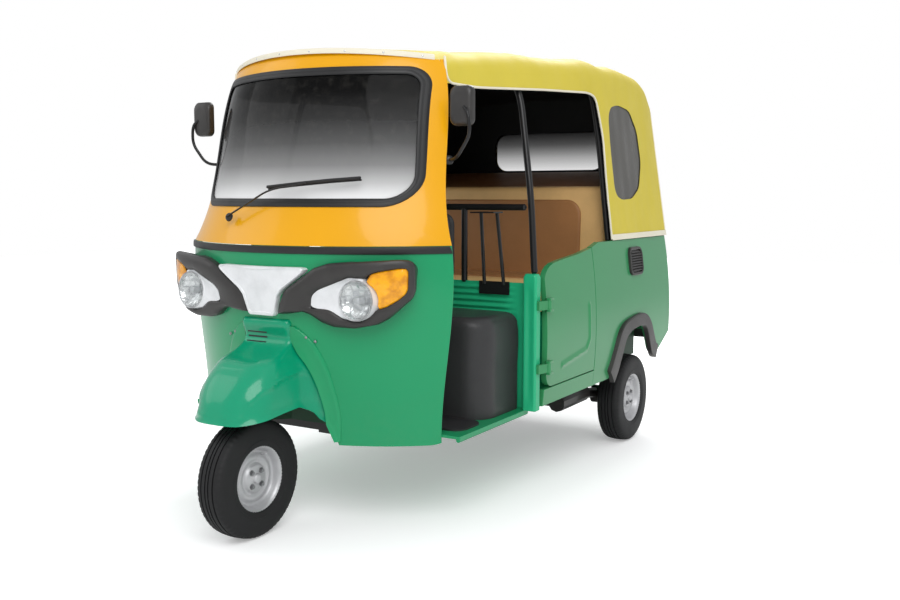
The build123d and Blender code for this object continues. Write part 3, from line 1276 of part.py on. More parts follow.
hood_front = SHELL_UPPER[-1]
with BuildPart() as hood:
    add(hood_bulk(0, 0))
    add(hood_bulk(-HOOD_THICKNESS, -HOOD_THICKNESS), mode=Mode.SUBTRACT)
    with BuildSketch(PLAN.offset(HOOD_LOW - 10)):
        with Locations((0, hood_front[1] + hood_front[2])):
            Circle(hood_front[2] + BELT_PROUD)
        with Locations((0, 1450)):
            Rectangle(2 * ACROSS, 1900)
    extrude(amount=ACROSS + 200, mode=Mode.INTERSECT)
    add(side_outline([(0, HOOD_EDGE[-1][1]), (0, HOOD_EDGE[0][1]), *HOOD_EDGE]), mode=Mode.SUBTRACT)
    add(side_outline(SIDE_WINDOW), mode=Mode.SUBTRACT)
    with BuildSketch(FACE.offset(-HOOD_ROWS[-2][0])):
        with Locations((0, (REAR_WINDOW_LOW + REAR_WINDOW_HIGH) / 2)):
            RectangleRounded(2 * REAR_WINDOW_HALF_WIDTH, REAR_WINDOW_HIGH - REAR_WINDOW_LOW, 60)
    extrude(amount=-400, mode=Mode.SUBTRACT)
hood.part.label = "hood"
export_step(hood.part, "parts/hood.step")

PANE_THICKNESS = 2.0
pane_outer = -(HOOD_THICKNESS - PANE_THICKNESS) / 2
with BuildPart() as hood_windows:
    add(hood_bulk(pane_outer, pane_outer))
    add(hood_bulk(pane_outer - PANE_THICKNESS, pane_outer - PANE_THICKNESS), mode=Mode.SUBTRACT)
    with BuildSketch(SIDE):
        with BuildLine():
            Polyline(*SIDE_WINDOW, close=True)
        make_face()
        offset(amount=-SEAT_GAP, kind=Kind.INTERSECTION)
    extrude(amount=ACROSS, both=True, mode=Mode.INTERSECT)
hood_windows.part.label = "hood_windows"
export_step(hood_windows.part, "parts/hood_windows.step")

# runs of the frame tubes: to the left, behind the axle, height
FRONT_HOOP = ((625, 884, PILLAR_TOP + PANEL_GAP), (603, 900, 1136), (512, 946, 1540), (455, 952, 1650))
REAR_HOOP = ((617, 1634, 957), (584, 1592, 1387), (558, 1564, 1600), (500, 1562, 1694))
TOP_RAIL = ((428, 520, 1592), (560, 1500, 1600), (522, 2255, 1582))
with BuildPart() as hood_frame:
    for half in (FRONT_HOOP, REAR_HOOP):
        left = [at(*point) for point in half]
        add(tube(left + mirrored(reversed(left)), TUBE_RADIUS))
    rail = [at(*point) for point in TOP_RAIL]
    for points in (rail, mirrored(rail)):
        add(tube(points, TUBE_RADIUS))
hood_frame.part.label = "hood_frame"
export_step(hood_frame.part, "parts/hood_frame.step")

# ---------------------------------------------------------------- engine and rear suspension
ENGINE_BACK = 1960.0
ENGINE_SIZE = (330.0, 380.0, 300.0)
ENGINE_LOW = 235.0
ENGINE_CORNER = 40.0
DRIVE_HEIGHT = AXLE_HEIGHT + 60.0
DRIVE_RADIUS = 75.0
DRIVE_END = ENGINE_SIZE[0] / 2 + 40.0
with BuildPart() as engine_block:
    with BuildSketch(PLAN.offset(ENGINE_LOW)):
        with Locations((0, ENGINE_BACK)):
            RectangleRounded(ENGINE_SIZE[0], ENGINE_SIZE[1], ENGINE_CORNER)
    extrude(amount=ENGINE_SIZE[2])
    with BuildSketch(SIDE):
        with Locations((WHEELBASE, DRIVE_HEIGHT)):
            Circle(DRIVE_RADIUS)
    extrude(amount=DRIVE_END, both=True)
engine_block.part.label = "engine_block"
export_step(engine_block.part, "parts/engine_block.step")

ARM_X = 410.0
ARM_END_X = 465.0
ARM_RADIUS = 24.0
ARM_EYE_LENGTH = 88.0
HUB_INNER_X = 440.0
HUB_RADIUS = 42.0
HUB_CARRIER_X = REAR_TRACK / 2 - 44.0
STUB_END_X = REAR_TRACK / 2 + 34.0
with BuildPart() as rear_arms:
    for side in (1, -1):
        start = SIDE.offset(side * (RAIL_X + RAIL_WIDTH / 2 + PANEL_GAP))
        with BuildSketch(start):
            with Locations((ARM_PIVOT_BACK, ARM_PIVOT_HEIGHT)):
                Circle(PIVOT_TUBE_RADIUS + 12)
                Circle(PIVOT_TUBE_RADIUS + SEAT_GAP, mode=Mode.SUBTRACT)
        extrude(amount=side * ARM_EYE_LENGTH)
        arm_start = at(side * ARM_X, ARM_PIVOT_BACK + 34, ARM_PIVOT_HEIGHT)
        add(tube([arm_start, at(side * ARM_END_X, WHEELBASE, AXLE_HEIGHT + 8)], ARM_RADIUS))
        with BuildSketch(SIDE.offset(side * HUB_INNER_X)):
            with Locations((WHEELBASE, AXLE_HEIGHT)):
                Circle(HUB_RADIUS)
        extrude(amount=side * (HUB_CARRIER_X - HUB_INNER_X))
        with BuildSketch(SIDE.offset(side * HUB_INNER_X)):
            with Locations((WHEELBASE, AXLE_HEIGHT)):
                Circle(AXLE_RADIUS)
        extrude(amount=side * (STUB_END_X - HUB_INNER_X))
rear_arms.part.label = "rear_arms"
export_step(rear_arms.part, "parts/rear_arms.step")

SHAFT_RADIUS = 14.0
with BuildPart() as drive_shafts:
    for side in (1, -1):
        add(tube(
            [
                at(side * (DRIVE_END + PANEL_GAP), WHEELBASE, DRIVE_HEIGHT),
                at(side * (HUB_INNER_X - SEAT_GAP - 6), WHEELBASE, AXLE_HEIGHT + 4),
            ], SHAFT_RADIUS,
        ))
drive_shafts.part.label = "drive_shafts"
export_step(drive_shafts.part, "parts/drive_shafts.step")

# damper points: to the side, behind the axle, height
DAMPER_FOOT = (448.0, WHEELBASE - 80.0, AXLE_HEIGHT + 52.0)
DAMPER_NECK = (430.0, WHEELBASE - 120.0, 540.0)
DAMPER_HEAD = (427.0, WHEELBASE - 127.0, SEAT_BASE_TOP - SHEET - 12.0)
DAMPER_RADIUS = 28.0
DAMPER_ROD_RADIUS = 12.0
with BuildPart() as rear_dampers:
    for side in (1, -1):
        foot, neck, head = [at(side * x, back, z) for x, back, z in (DAMPER_FOOT, DAMPER_NECK, DAMPER_HEAD)]
        rod_start = at(side * DAMPER_NECK[0], DAMPER_NECK[1], DAMPER_NECK[2] - 5)
        add(tube([foot, neck], DAMPER_RADIUS))
        add(tube([rod_start, head], DAMPER_ROD_RADIUS))
rear_dampers.part.label = "rear_dampers"
export_step(rear_dampers.part, "parts/rear_dampers.step")

SILENCER_X = 505.0
SILENCER_HEIGHT = 262.0
SILENCER_RADIUS = 38.0
SILENCER_FRONT = 1360.0
SILENCER_REAR = 1640.0
PORT_X = 150.0
PORT_HEIGHT = 368.0
PIPE_RADIUS = 14.0
with BuildPart() as silencer:
    drum = [at(SILENCER_X, back, SILENCER_HEIGHT) for back in (SILENCER_FRONT, SILENCER_REAR)]
    add(tube(drum, SILENCER_RADIUS))
    add(tube([
        at(SILENCER_X, SILENCER_REAR - 5, SILENCER_HEIGHT + 12), at(WING_X - 36, 1690, 336),
        at(PORT_X, 1735, PORT_HEIGHT), at(PORT_X, ENGINE_BACK - ENGINE_SIZE[1] / 2 - 3, PORT_HEIGHT),
    ], PIPE_RADIUS))
silencer.part.label = "silencer"
export_step(silencer.part, "parts/silencer.step")
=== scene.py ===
"""Visual model of the auto rickshaw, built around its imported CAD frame."""

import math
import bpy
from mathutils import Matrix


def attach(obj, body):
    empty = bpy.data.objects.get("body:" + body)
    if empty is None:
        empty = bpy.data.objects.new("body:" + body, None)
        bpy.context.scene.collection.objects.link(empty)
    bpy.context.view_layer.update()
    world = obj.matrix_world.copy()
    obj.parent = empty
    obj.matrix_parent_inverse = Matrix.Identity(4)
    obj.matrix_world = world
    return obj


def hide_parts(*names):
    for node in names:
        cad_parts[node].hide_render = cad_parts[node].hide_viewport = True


bl_info = {
    "name": "Auto rickshaw",
    "version": (1, 0, 0),
    "blender": (4, 5, 0),
    "location": "View3D > Sidebar > Rickshaw",
    "description": "Builds the bodywork, hood, wheels, seats and lamps of a three-wheeled auto rickshaw",
    "category": "Object",
}

import bmesh
import bpy
import numpy as np
from bpy.props import FloatProperty, FloatVectorProperty, IntProperty, PointerProperty

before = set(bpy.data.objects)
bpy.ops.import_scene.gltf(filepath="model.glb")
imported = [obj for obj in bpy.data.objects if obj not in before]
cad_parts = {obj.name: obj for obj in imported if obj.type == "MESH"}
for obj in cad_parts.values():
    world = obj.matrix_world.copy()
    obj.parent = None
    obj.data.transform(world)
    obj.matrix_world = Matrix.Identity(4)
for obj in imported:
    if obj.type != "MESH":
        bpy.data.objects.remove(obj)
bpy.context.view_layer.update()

# Lengths are in metres. Tables give places behind the front axle; AXLE_Y moves them into the frame.
AXLE_Y = -1.081
SHEET = 0.003

# ------------------------------------------------------------------ materials


def linear(red, green, blue, alpha=1.0):
    """Colour on the 0-255 screen scale, as the linear values that a shader takes."""
    screen = np.array([red, green, blue]) / 255.0
    low, high = screen / 12.92, ((screen + 0.055) / 1.055) ** 2.4
    return (*np.where(screen <= 0.04045, low, high), alpha)


class Socket:
    """An output of a node. Arithmetic on it adds Math nodes."""

    def __init__(self, finish, output):
        self.finish = finish
        self.output = output

    def _math(self, operation, *values):
        """A Math node of this finish."""
        return self.finish.node("ShaderNodeMath", {"operation": operation}, dict(enumerate(values)))

    def __add__(self, other):
        return self._math("ADD", self, other)

    def __rsub__(self, other):
        return self._math("SUBTRACT", other, self)

    def __mul__(self, other):
        return self._math("MULTIPLY", self, other)

    def __abs__(self):
        return self._math("ABSOLUTE", self)

    def maximum(self, other):
        return self._math("MAXIMUM", self, other)

    def sine(self):
        return self._math("SINE", self)

    __radd__ = __add__
    __rmul__ = __mul__


class Finish:
    """A material whose nodes are added by one method, around a Principled shader."""

    def __init__(self, name, **constants):
        self.material = bpy.data.materials.new(name)
        self.material.use_nodes = True
        self.tree = self.material.node_tree
        self.tree.nodes.clear()
        self.shader = self.tree.nodes.new("ShaderNodeBsdfPrincipled")
        output = self.tree.nodes.new("ShaderNodeOutputMaterial")
        self.tree.links.new(self.shader.outputs[0], output.inputs[0])
        self.set(**constants)

    def put(self, socket, value):
        """Links a node's output, or sets a plain value."""
        if isinstance(value, Socket):
            self.tree.links.new(value.output, socket)
        else:
            socket.default_value = value

    def set(self, **values):
        """Inputs of the shader by name."""
        for name, value in values.items():
            self.put(self.shader.inputs[name.replace("_", " ")], value)
        return self

    def node(self, kind, settings=None, inputs=None, output=0):
        """Adds a node and gives one of its outputs. The setting "stops" fills a colour ramp."""
        made = self.tree.nodes.new(kind)
        for name, value in (settings or {}).items():
            if name == "stops":
                ramp = made.color_ramp.elements
                while len(ramp) < len(value):
                    ramp.new(0.5)
                for element, (place, colour) in zip(ramp, value):
                    element.position = place
                    element.color = colour
            else:
                setattr(made, name, value)
        for name, value in (inputs or {}).items():
            self.put(made.inputs[name], value)
        return Socket(self, made.outputs[output])

    def place(self):
        """Place on the piece, in metres."""
        return self.node("ShaderNodeTexCoord", output="Object")

    def noise(self, scale, detail=3.0, roughness=0.5):
        """Noise over the place on the piece, from 0 to 1."""
        inputs = {"Vector": self.place(), "Scale": scale, "Detail": detail, "Roughness": roughness}
        return self.node("ShaderNodeTexNoise", inputs=inputs, output="Fac")

    def cells(self, scale, randomness=1.0, **settings):
        """Distances in a pattern of small cells."""
        inputs = {"Vector": self.place(), "Scale": scale, "Randomness": randomness}
        return self.node("ShaderNodeTexVoronoi", settings, inputs, "Distance")

    def ramp(self, value, *stops):
        """Numbers against place on the ramp, as greys."""
        greys = [(place, (grey, grey, grey, 1.0)) for place, grey in stops]
        return self.node("ShaderNodeValToRGB", {"stops": greys}, {"Fac": value})

    def patches(self, scale, detail, roughness, low, high):
        """Soft-edged patches: 0 where a noise is under low, 1 where it is over high."""
        return self.ramp(self.noise(scale, detail, roughness), (low, 0.0), (high, 1.0))

    def rise(self, low, high):
        """0 at one level and 1 at another."""
        inputs = {"Value": self.axis("Z"), "From Min": low, "From Max": high}
        return self.node("ShaderNodeMapRange", inputs=inputs)

    def blend(self, factor, first, second):
        """Mixes two colours."""
        return self.node("ShaderNodeMix", {"data_type": "RGBA"}, {0: factor, 6: first, 7: second}, 2)

    def axis(self, name, vector=None):
        """X, Y or Z of a vector, or of the place on the piece."""
        return self.node("ShaderNodeSeparateXYZ", inputs={0: vector or self.place()}, output=name)

    def bump(self, height, strength, distance):
        """Relief from a height."""
        inputs = {"Height": height, "Strength": strength, "Distance": distance}
        return self.node("ShaderNodeBump", inputs=inputs)


DUST, RUST = linear(150, 132, 104), linear(104, 62, 38)
# prisms of a lamp lens, as radians of a sine per metre
PRISMS = 142.6


def shade(colour, factor):
    """A darker or lighter copy of a colour."""
    return (*[min(1.0, part * factor) for part in colour[:3]], 1.0)


def paint(name, colour, roughness=0.26, coat=0.28):
    """Sprayed gloss paint: faint mottle, orange peel, road dust low down and thin scuffs."""
    finish = Finish(name, Coat_Roughness=0.08, Specular_IOR_Level=0.22)
    mottle = finish.noise(3.0, 4.0)
    specks = finish.patches(420.0, 2.0, 0.5, 0.66, 0.74)
    low = finish.ramp(finish.axis("Z") + finish.noise(6.0, 3.0) * 0.25, (0.30, 1.0), (0.62, 0.0))
    dust = low * finish.ramp(finish.noise(34.0, 5.0, 0.65), (0.35, 0.1), (0.7, 0.55))
    base = finish.blend(mottle, shade(colour, 0.93), shade(colour, 1.05))
    dusty = finish.blend(dust * 0.10, base, DUST)
    finish.set(
        Base_Color=finish.blend(specks * 0.06, dusty, shade(colour, 0.5)),
        Roughness=mottle * 0.06 + dust * 0.12 + roughness,
        Coat_Weight=coat - dust * 0.2,
        Normal=finish.bump(finish.noise(260.0, 2.0) + finish.noise(12.0, 1.0) * 0.8, 0.03, 0.001),
    )
    return finish.material


def moulded(name, colour, roughness=0.5, grain=900.0, depth=0.25, specular=0.5):
    """Moulded plastic or rubber: fine pebbled grain with paler rubbed patches."""
    finish = Finish(name, Specular_IOR_Level=specular)
    pebbles = finish.cells(grain, feature="SMOOTH_F1")
    rubbed = finish.patches(9.0, 5.0, 0.6, 0.45, 0.75)
    finish.set(
        Base_Color=finish.blend(rubbed, colour, shade(colour, 1.45)),
        Roughness=rubbed * 0.12 + roughness,
        Normal=finish.bump(pebbles, depth, 0.0006),
    )
    return finish.material


def vinyl(name, colour, roughness=0.42):
    """Upholstery vinyl: leather grain of small cells, soft creases and a worn sheen."""
    finish = Finish(name, Specular_IOR_Level=0.25)
    grain = finish.ramp(finish.cells(340.0, feature="DISTANCE_TO_EDGE"), (0.0, 0.0), (0.12, 1.0))
    creases = finish.noise(22.0, 6.0, 0.7)
    worn = finish.patches(5.0, 4.0, 0.6, 0.4, 0.7)
    finish.set(
        Base_Color=finish.blend(worn * 0.6 + (1.0 - grain) * 0.3, colour, shade(colour, 0.78)),
        Roughness=worn * 0.12 + grain * -0.05 + roughness,
        Normal=finish.bump(grain * 0.25 + creases * 1.05, 0.3, 0.0012),
    )
    return finish.material


def metal(name, colour, roughness=0.3, metallic=1.0, rust=0.0):
    """Plated or machined metal: brushed streaks, dull patches and a little rust."""
    finish = Finish(name)
    streaks = finish.noise(60.0, 6.0, 0.7)
    dull = finish.patches(14.0, 4.0, 0.6, 0.42, 0.72)
    spots = finish.patches(48.0, 5.0, 0.7, 0.60, 0.68) * rust
    finish.set(
        Base_Color=finish.blend(spots, finish.blend(dull * 0.5, colour, shade(colour, 0.75)), RUST),
        Metallic=metallic - spots * metallic,
        Roughness=streaks * 0.14 + dull * 0.1 + spots * 0.3 + roughness,
        Normal=finish.bump(streaks + spots * 2.0, 0.06, 0.001),
    )
    return finish.material


def faceted(name):
    """Bright reflector stamped with small square cells, with dark joints between them."""
    finish = Finish(name, Metallic=0.75, Roughness=0.22)
    cells = finish.cells(46.0, 0.35, distance="CHEBYCHEV")
    tone = finish.ramp(cells, (0.15, 1.0), (0.42, 0.6), (0.5, 0.3))
    finish.set(
        Base_Color=finish.blend(tone, linear(176, 178, 180), linear(250, 250, 250)),
        Normal=finish.bump(cells, 0.8, 0.004),
    )
    return finish.material


def canvas(name, colour):
    """Coated canvas: a crossed weave under the coating, faint soiling and broad tension marks."""
    finish = Finish(name, Roughness=0.55, Specular_IOR_Level=0.2)
    place = finish.place()
    warp = (finish.axis("Y", place) * 2600.0).sine()
    weft = (finish.axis("X", place) * 2600.0 + finish.axis("Z", place) * 2600.0).sine()
    weave = warp * weft
    soil = finish.patches(4.0, 6.0, 0.65, 0.42, 0.78)
    marks = finish.noise(11.0, 4.0, 0.6)
    finish.set(
        Base_Color=finish.blend(soil * 0.35 + weave * 0.04, colour, shade(colour, 0.84)),
        Roughness=soil * 0.12 + 0.5,
        Normal=finish.bump(weave * 0.12 + marks * 2.0, 0.28, 0.0016),
    )
    return finish.material


def tinted(name, low, high):
    """Dark film that thins out towards the bottom of the window."""
    finish = Finish(name, Roughness=0.2, Specular_IOR_Level=0.1)
    band = finish.rise(low, high)
    creases = finish.noise(16.0, 3.0, 0.6)
    finish.set(
        Base_Color=finish.blend(creases, linear(34, 34, 34), linear(52, 52, 52)),
        Alpha=finish.ramp(band, (0.0, 0.14), (0.35, 0.40), (0.7, 0.74), (1.0, 0.90)),
        Normal=finish.bump(creases, 0.1, 0.004),
    )
    return finish.material


def faded(name, low, high, *stops):
    """Shaded pane: dark at the top and, through grey, a pale reflection at the bottom."""
    finish = Finish(name, Roughness=0.06, Specular_IOR_Level=0.05, Alpha=0.9)
    tone = finish.ramp(finish.rise(low, high), *stops)
    dust = finish.patches(30.0, 6.0, 0.7, 0.5, 0.85)
    dusty = finish.blend(dust * 0.06, tone, linear(170, 165, 155))
    finish.set(Base_Color=dusty, Roughness=dust * 0.05 + 0.05)
    return finish.material


def clear(name, colour, roughness=0.03, transmission=1.0, ripple=0.0, index=1.45, alpha=1.0):
    """Glass or clear plastic, with dust and, on sheet, a soft ripple."""
    finish = Finish(name, Transmission_Weight=transmission, IOR=index)
    dust = finish.patches(26.0, 6.0, 0.7, 0.5, 0.85)
    finish.set(
        Base_Color=finish.blend(dust * 0.2, colour, shade(colour, 0.8)),
        Roughness=dust * 0.05 + roughness,
        Alpha=dust * 0.05 + alpha,
        Normal=finish.bump(finish.noise(9.0, 2.0), ripple, 0.004),
    )
    return finish.material


def lens(name, colour):
    """Moulded lamp lens: small crossed prisms under a clear skin, with darker blotches."""
    finish = Finish(name, Specular_IOR_Level=0.3, Coat_Weight=0.5, Coat_Roughness=0.05)
    place = finish.place()
    upright_prisms = abs((finish.axis("X", place) * PRISMS).sine())
    prisms = upright_prisms.maximum(abs((finish.axis("Z", place) * PRISMS).sine()))
    blotches = finish.patches(26.0, 3.0, 0.5, 0.40, 0.62)
    finish.set(
        Base_Color=finish.blend(blotches * 0.8 + prisms * 0.15, shade(colour, 1.3), shade(colour, 0.62)),
        Roughness=blotches * 0.05 + 0.14,
        Normal=finish.bump(prisms * 0.5 + blotches, 0.35, 0.002),
    )
    return finish.material


# height up the windscreen, grey of its reflection
SCREEN_FADE = (
    (0.0, 0.98), (0.08, 0.86), (0.18, 0.52), (0.30, 0.235), (0.45, 0.095), (0.62, 0.028), (0.8, 0.006),
    (1.0, 0.002),
)


def make_finishes():
    """All finishes by name: a maker and what it takes for each."""
    colours = bpy.context.scene.rickshaw_colours
    cab, body, hood = [(*c, 1.0) for c in (colours.cab, colours.body, colours.hood)]
    table = (
        ("cab_paint", paint, cab),
        ("body_paint", paint, body),
        ("guard_paint", paint, linear(22, 148, 96)),
        ("bell_paint", paint, linear(4, 150, 110), 0.22, 0.45),
        # a dark, dull copy of the green: painted shade on the rear wings and the wheel housing, which sit
        # under the body
        ("shaded_paint", paint, linear(20, 62, 40), 0.5, 0.1),
        # a lighter copy of the guard green: painted light on the door posts, the partition and the seat base,
        # which stand in shade
        ("inner_paint", paint, linear(34, 176, 124), 0.4, 0.3),
        ("hood_canvas", canvas, hood),
        ("hem_tape", canvas, linear(232, 226, 206)),
        ("lining", canvas, linear(30, 30, 30)),
        ("seat_brown", vinyl, linear(168, 118, 74)),
        ("seat_beige", vinyl, linear(232, 188, 126)),
        ("shelf_brown", vinyl, linear(146, 96, 56)),
        ("seat_black", vinyl, linear(60, 60, 61), 0.34),
        ("tyre_rubber", moulded, linear(24, 24, 25), 0.58, 500.0, 0.3, 0.35),
        ("seal_rubber", moulded, linear(22, 22, 23), 0.45, 800.0, 0.15),
        ("floor_rubber", moulded, linear(34, 34, 36), 0.6, 160.0, 0.6),
        ("black_plastic", moulded, linear(44, 42, 41), 0.38, 700.0, 0.18),
        ("black_paint", paint, linear(26, 26, 27), 0.34, 0.3),
        ("silver_paint", metal, linear(232, 233, 235), 0.38, 0.2),
        ("rim_paint", metal, linear(196, 196, 198), 0.34, 0.55, 0.12),
        ("chrome", metal, linear(214, 215, 218), 0.1, 1.0),
        ("reflector", faceted),
        ("bolt_steel", metal, linear(150, 150, 152), 0.34, 1.0, 0.3),
        ("cast_metal", metal, linear(128, 128, 130), 0.5, 0.7, 0.35),
        ("mirror_glass", metal, linear(226, 230, 232), 0.03, 1.0),
        ("screen_glass", faded, 1.10, 1.60, *SCREEN_FADE),
        ("rear_film", tinted, 1.28, 1.47),
        ("side_film", clear, linear(112, 110, 106), 0.12, 0.4, 0.2, 1.2),
        ("lamp_cover", clear, linear(248, 250, 250), 0.02),
        ("amber_lens", lens, linear(250, 158, 8)),
        ("red_lens", lens, linear(190, 20, 14)),
    )
    return {name: make(name, *values) for name, make, *values in table}


# finish of each CAD node that stays in view
NODE_FINISH = {
    "cab_paint": (),
    "body_paint": ("tail_panel", "engine_lid", "door_hinges"),
    "guard_paint": ("front_panel", "passenger_door", "partition", "floor_pan"),
    "inner_paint": ("seat_base",),
    "shaded_paint": ("rear_wings", "wheel_housing"),
    "black_paint": (
        "chassis_frame", "steering_column", "front_link", "silencer", "rear_arms", "rear_dampers",
        "drive_shafts", "hood_frame", "rear_bumper", "guard_rail", "meter_stand", "handlebar", "mirror_arms",
        "wiper",
    ),
    "bolt_steel": ("front_spring",),
    "cast_metal": ("engine_block",),
    "black_plastic": ("dashboard", "arch_trims", "side_vents", "lamp_bezel", "mirror_heads"),
    "floor_rubber": ("floor_mat",),
    "seal_rubber": ("windscreen_seal", "belt_strip", "handlebar_grips"),
    "silver_paint": ("headlamp_housings", "lamp_centre_panel"),
    "shelf_brown": ("rear_shelf",),
    "red_lens": ("tail_lamps",),
    "amber_lens": ("indicators",),
    "lamp_cover": ("headlamp_lenses",),
    "side_film": ("hood_windows",),
    "screen_glass": ("windscreen_glass",),
    "tyre_rubber": ("front_tyre", "rear_left_tyre", "rear_right_tyre"),
    "rim_paint": ("front_rim", "rear_left_rim", "rear_right_rim"),
}
FINISHES = {}

# ------------------------------------------------------------------ surfaces


def quads(rows, columns, around=False):
    """Corner numbers of the cells of a grid whose points are numbered row by row."""
    row = np.arange(rows - 1)[:, None] * columns
    column = np.arange(columns if around else columns - 1)[None]
    after = (column + 1) % columns
    return np.stack([row + column, row + after, row + columns + after, row + columns + column], -1)


def surface(grid, around=False):
    """A grid of points as (points, faces)."""
    return grid.reshape(-1, 3), quads(*grid.shape[:2], around).reshape(-1, 4)


def thick(outer, inner, around=False, mask=None):
    """Two grids a wall apart, joined by walls along every edge of the kept cells."""
    rows, columns = outer.shape[:2]
    cells = quads(rows, columns, around)
    keep = np.ones(cells.shape[:2], bool) if mask is None else mask
    lift = rows * columns
    faces = [cells[keep], cells[keep][:, ::-1] + lift]
    numbers = np.arange(lift).reshape(rows, columns)
    ahead = np.roll(numbers, -1, 1)
    kept_above = np.vstack([keep, np.zeros((1, keep.shape[1]), bool)])
    kept_below = np.vstack([np.zeros((1, keep.shape[1]), bool), keep])
    lone = kept_above != kept_below
    start, end = numbers[:, : keep.shape[1]][lone], ahead[:, : keep.shape[1]][lone]
    faces.append(np.stack([start, end, end + lift, start + lift], -1))
    if around:
        lone = keep != np.roll(keep, 1, 1)
    else:
        blank = np.zeros((keep.shape[0], 1), bool)
        lone = np.hstack([keep, blank]) != np.hstack([blank, keep])
    start, end = numbers[:-1][lone], numbers[1:][lone]
    faces.append(np.stack([start, end, end + lift, start + lift], -1))
    return np.vstack([outer.reshape(-1, 3), inner.reshape(-1, 3)]), np.vstack(faces)


def rings(*loops, fill_first=False, fill_last=False):
    """Closed loops joined one to the next, with a flat lid on the first or last."""
    loops = [np.asarray(loop, float) for loop in loops]
    if fill_first:
        loops.insert(0, np.broadcast_to(loops[0].mean(0), loops[0].shape))
    if fill_last:
        loops.append(np.broadcast_to(loops[-1].mean(0), loops[-1].shape))
    return surface(np.stack(loops), around=True)


def block(*loops):
    """Closed loops joined one to the next, with a flat lid on both ends."""
    return rings(*loops, fill_first=True, fill_last=True)


def full_turn(steps):
    """Angles of a whole turn, evenly spaced."""
    return np.linspace(0, 2 * np.pi, steps, endpoint=False)


def turned(profile, centre, steps, lobes=None):
    """A profile of (along X, radius) turned about an axis along X. lobes(angle, place) scales the radius."""
    profile = np.asarray(profile, float)
    angle = full_turn(steps)
    radius = np.broadcast_to(profile[:, 1][:, None], (len(profile), steps))
    if lobes is not None:
        radius = radius * lobes(angle[None, :], profile[:, :1])
    along = np.broadcast_to(profile[:, 0][:, None], radius.shape)
    grid = np.stack([along, radius * np.cos(angle), radius * np.sin(angle)], -1)
    return surface(grid + np.asarray(centre, float), around=True)


def rounded_path(points, radius, steps=8):
    """Straight runs joined by parabolic bends that start a radius before each corner."""
    points = np.asarray(points, float)
    path = [points[:1]]
    t = np.linspace(0, 1, steps)[:, None]
    for before, corner, after in zip(points[:-2], points[1:-1], points[2:]):
        back, on = before - corner, after - corner
        start = corner + back * min(0.49, radius / np.linalg.norm(back))
        end = corner + on * min(0.49, radius / np.linalg.norm(on))
        path.append((1 - t) ** 2 * start + 2 * t * (1 - t) * corner + t**2 * end)
    path.append(points[-1:])
    return np.vstack(path)


def tube(path, radius, sides=14, closed=False, flat=1.0):
    """A round section carried along a path, its frame kept square to the path. Ends are domed."""
    path = np.asarray(path, float)
    if closed:
        tangent = np.roll(path, -1, 0) - np.roll(path, 1, 0)
    else:
        tangent = np.gradient(path, axis=0)
    tangent /= np.linalg.norm(tangent, axis=1, keepdims=True)
    spread = np.abs(tangent).sum(0)
    reference = np.eye(3)[np.argmin(spread)]
    normal = reference - tangent * (tangent @ reference)[:, None]
    normal /= np.linalg.norm(normal, axis=1, keepdims=True)
    side = np.cross(tangent, normal)
    angle = full_turn(sides)[None, :, None]
    radii = np.broadcast_to(np.asarray(radius, float), len(path))[:, None, None]
    grid = path[:, None] + radii * (np.cos(angle) * normal[:, None] + flat * np.sin(angle) * side[:, None])
    if closed:
        grid = np.concatenate([grid, grid[:1]])
        return surface(grid, around=True)
    first = path[0] + (grid[0] - path[0]) * 0.6 - tangent[0] * radii[0, 0] * 0.45
    last = path[-1] + (grid[-1] - path[-1]) * 0.6 + tangent[-1] * radii[-1, 0] * 0.45
    tips = [
        np.broadcast_to(path[0] - tangent[0] * radii[0, 0] * 0.6, first.shape),
        np.broadcast_to(path[-1] + tangent[-1] * radii[-1, 0] * 0.6, last.shape),
    ]
    return surface(np.concatenate([tips[:1], [first], grid, [last], tips[1:]]), around=True)


def rounded_loop(corners, radii, per_corner=8, per_side=12):
    """A polygon's outline with an arc at each corner, as points in order. A radius of 0 repeats a corner."""
    corners = np.asarray(corners, float)
    before, after = np.roll(corners, 1, 0), np.roll(corners, -1, 0)
    back = (before - corners) / np.linalg.norm(before - corners, axis=1, keepdims=True)
    on = (after - corners) / np.linalg.norm(after - corners, axis=1, keepdims=True)
    half = np.arccos(np.clip((back * on).sum(1), -1, 1)) / 2
    radii = np.broadcast_to(np.asarray(radii, float), len(corners))
    reach = radii / np.tan(half)
    inwards = (back + on) / np.linalg.norm(back + on, axis=1, keepdims=True)
    centre = corners + inwards * (radii / np.sin(half))[:, None]
    start, end = corners + back * reach[:, None], corners + on * reach[:, None]
    t = np.linspace(0, 1, per_corner)[None, :, None]
    chord = start[:, None] * (1 - t) + end[:, None] * t - centre[:, None]
    length = np.linalg.norm(chord, axis=2, keepdims=True)
    arcs = centre[:, None] + chord / np.maximum(length, 1e-12) * radii[:, None, None]
    s = np.linspace(0, 1, per_side + 2)[None, 1:-1, None]
    sides = end[:, None] * (1 - s) + np.roll(start, -1, 0)[:, None] * s
    return np.concatenate([arcs, sides], 1).reshape(-1, 2)


def rectangle(u, v, corner, per_corner=8, per_side=12):
    """Outline of a rectangle of half sizes u and v round the origin, with rounded corners."""
    return rounded_loop(((-u, -v), (u, -v), (u, v), (-u, v)), corner, per_corner, per_side)


def at_level(loop, height):
    """A plan outline put at a height."""
    return np.column_stack([loop, np.full(len(loop), height)])


def strip(lines):
    """A closed section along a path, given as the lines that its points draw."""
    return surface(np.stack(lines, 1), around=True)


def carried(lines):
    """The same with both ends closed onto their middles."""
    grid = np.stack(lines, 1)
    middle = grid.mean(1, keepdims=True) + 0 * grid
    return surface(np.concatenate([middle[:1], grid, middle[-1:]]), around=True)


def flip(*shapes):
    """The shapes and their mirror images across the vehicle's middle."""
    return [(points * (side, 1, 1), faces) for points, faces in shapes for side in (1, -1)]


